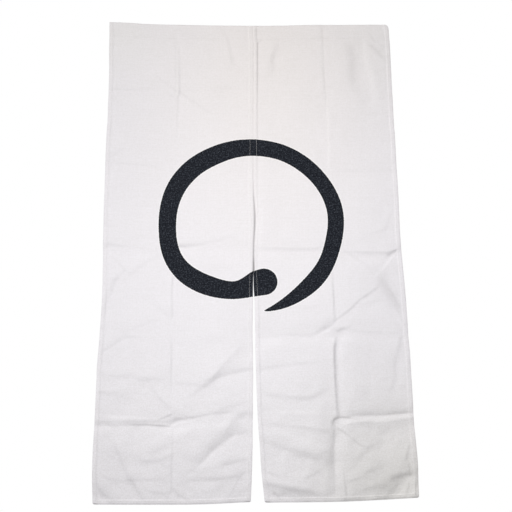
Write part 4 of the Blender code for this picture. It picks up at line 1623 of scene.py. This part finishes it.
    def build(self) -> bpy.types.Object:
        """Join every stitch of the panel into one piece.

        Returns:
            The stitching's object.
        """
        points, faces = self.one_stitch()
        frames = np.concatenate(self.rows())
        rng = np.random.default_rng(Pattern.STITCHES)
        lengthen = rng.uniform(*self.lengthening, len(frames))
        lean = rng.uniform(-self.lean, self.lean, len(frames))
        across = frames[:, 1] + frames[:, 3] * lean[:, None]
        along = (frames[:, 3] - frames[:, 1] * lean[:, None]) * lengthen[:, None]
        axes = np.stack([across, frames[:, 2], along], 1)
        vertices = frames[:, 0][:, None] + np.einsum("pk,skd->spd", points, axes)
        name = self.panel.side.value + "_stitching"
        mesh = bpy.data.meshes.new(name)
        count = len(points)
        all_faces = [tuple(v + count * k for v in face) for k in range(len(frames)) for face in faces]
        mesh.from_pydata(vertices.reshape(-1, 3).tolist(), [], all_faces)
        mesh.update()
        mesh.shade_smooth()
        piece = bpy.data.objects.new(name, mesh)
        bpy.context.scene.collection.objects.link(piece)
        mesh.materials.append(ThreadFinish().material())
        return piece


@dataclass(frozen=True)
class Softbox:
    """A square studio light that can't be seen itself."""

    name: str
    place: Place
    aim: Place
    size: float
    watts: float
    colour: tuple[float, float, float] = (1.0, 1.0, 1.0)

    def build(self) -> bpy.types.Object:
        """Hang the light and aim it.

        Returns:
            The light's object.
        """
        data = bpy.data.lights.new(self.name, "AREA")
        data.shape = "SQUARE"
        data.size = self.size
        data.energy = self.watts
        data.color = self.colour
        lamp = bpy.data.objects.new(self.name, data)
        lamp.location = self.place
        lamp.rotation_euler = (Vector(self.aim) - Vector(self.place)).to_track_quat("-Z", "Y").to_euler()
        lamp.visible_camera = False
        bpy.context.scene.collection.objects.link(lamp)
        return lamp


@dataclass(frozen=True)
class Sunlight:
    """Even light from far away, which shows every crease alike."""

    name: str = "skylight"
    towards: Place = (0.38, 0.50, -0.78)
    strength: float = 2.09
    spread: float = 14.0

    def build(self) -> bpy.types.Object:
        """Hang the light."""
        data = bpy.data.lights.new(self.name, "SUN")
        data.energy = self.strength
        data.angle = math.radians(self.spread)
        lamp = bpy.data.objects.new(self.name, data)
        lamp.rotation_euler = Vector(self.towards).to_track_quat("-Z", "Y").to_euler()
        bpy.context.scene.collection.objects.link(lamp)
        return lamp


@dataclass(frozen=True)
class Viewpoint:
    """The camera, which stands low in front of the curtain and looks slightly up at it."""

    place: Place = (-0.0019, -3.037, -1.5534)
    tilt: float = 14.53
    turn: float = 0.41
    lens: float = 72.42
    film: float = 36.0

    def build(self) -> bpy.types.Object:
        """Stand the camera up and make it the scene's."""
        data = bpy.data.cameras.new("camera")
        data.lens = self.lens
        data.sensor_width = self.film
        camera = bpy.data.objects.new("camera", data)
        camera.location = self.place
        camera.rotation_euler = Euler((math.radians(90 + self.tilt), 0.0, math.radians(-self.turn)))
        bpy.context.scene.collection.objects.link(camera)
        bpy.context.scene.camera = camera
        return camera


@dataclass
class Studio:
    """Floor, backdrop light and lamps."""

    floor_drop: float = 2.30
    floor_size: float = 14.0
    ambient: float = 0.055
    # Each softbox: name, place, aim, size, watts and, on some, its colour.
    softboxes: tuple[Softbox, ...] = (
        Softbox("key", (0.40, -1.52, -1.13), (-2.67, 0.0, 1.51), 1.0, 15.2, (0.985, 0.992, 1.0)),
        Softbox("fill", (-0.18, -1.30, -0.45), (-0.18, 0.0, -0.45), 0.8, 4.4, (1.0, 0.99, 0.965)),
        Softbox("rear", (0.9, 2.2, 0.5), (0.0, 0.0, -0.75), 2.0, 60.0),
    )

    def world(self) -> None:
        """Pale surroundings: white where the camera sees them, dimmer as a light."""
        world = bpy.data.worlds.new("studio")
        bpy.context.scene.world = world
        world.use_nodes = True
        tree = world.node_tree
        back = tree.nodes["Background"]
        path = tree.nodes.new("ShaderNodeLightPath")
        level = tree.nodes.new("ShaderNodeMapRange")
        level.inputs["To Min"].default_value = self.ambient
        level.inputs["To Max"].default_value = 1.0
        tree.links.new(path.outputs["Is Camera Ray"], level.inputs["Value"])
        tree.links.new(level.outputs["Result"], back.inputs["Strength"])
        back.inputs["Color"].default_value = (1.0, 1.0, 1.0, 1.0)

    def floor(self) -> bpy.types.Object:
        """Lay the floor.

        Returns:
            The floor's object.
        """
        clear_selection()
        bpy.ops.mesh.primitive_plane_add(size=self.floor_size, location=(0.0, 0.0, -self.floor_drop))
        floor = bpy.context.object
        floor.name = floor.data.name = "floor"
        floor.data.materials.append(FloorFinish().material())
        return floor

    def build(self) -> None:
        """Set the whole studio up."""
        bpy.context.scene.view_settings.view_transform = "Standard"
        self.world()
        self.floor()
        for softbox in self.softboxes:
            softbox.build()
        Sunlight().build()
        Viewpoint().build()


def main() -> None:
    """Build the curtain around its frame, then the studio."""
    logging.basicConfig(level=logging.INFO, format="%(name)s: %(message)s")
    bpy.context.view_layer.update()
    relief = Relief(SOFT_FOLDS, CREASES, CRINKLE)
    stroke = Brushstroke()
    for side in Side:
        panel = Panel(side, relief, stroke)
        cloth = panel.build()
        thread = Stitching(panel).build()
        for piece in (cloth, thread):
            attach(piece, "root")
            log.info("%s: %d faces", piece.name, len(piece.data.polygons))
        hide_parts(panel.name)
        log.info("%s: cut %.3f by %.3f m", panel.name, *panel.cut)
    Studio().build()


if __name__ == "__main__":
    main()
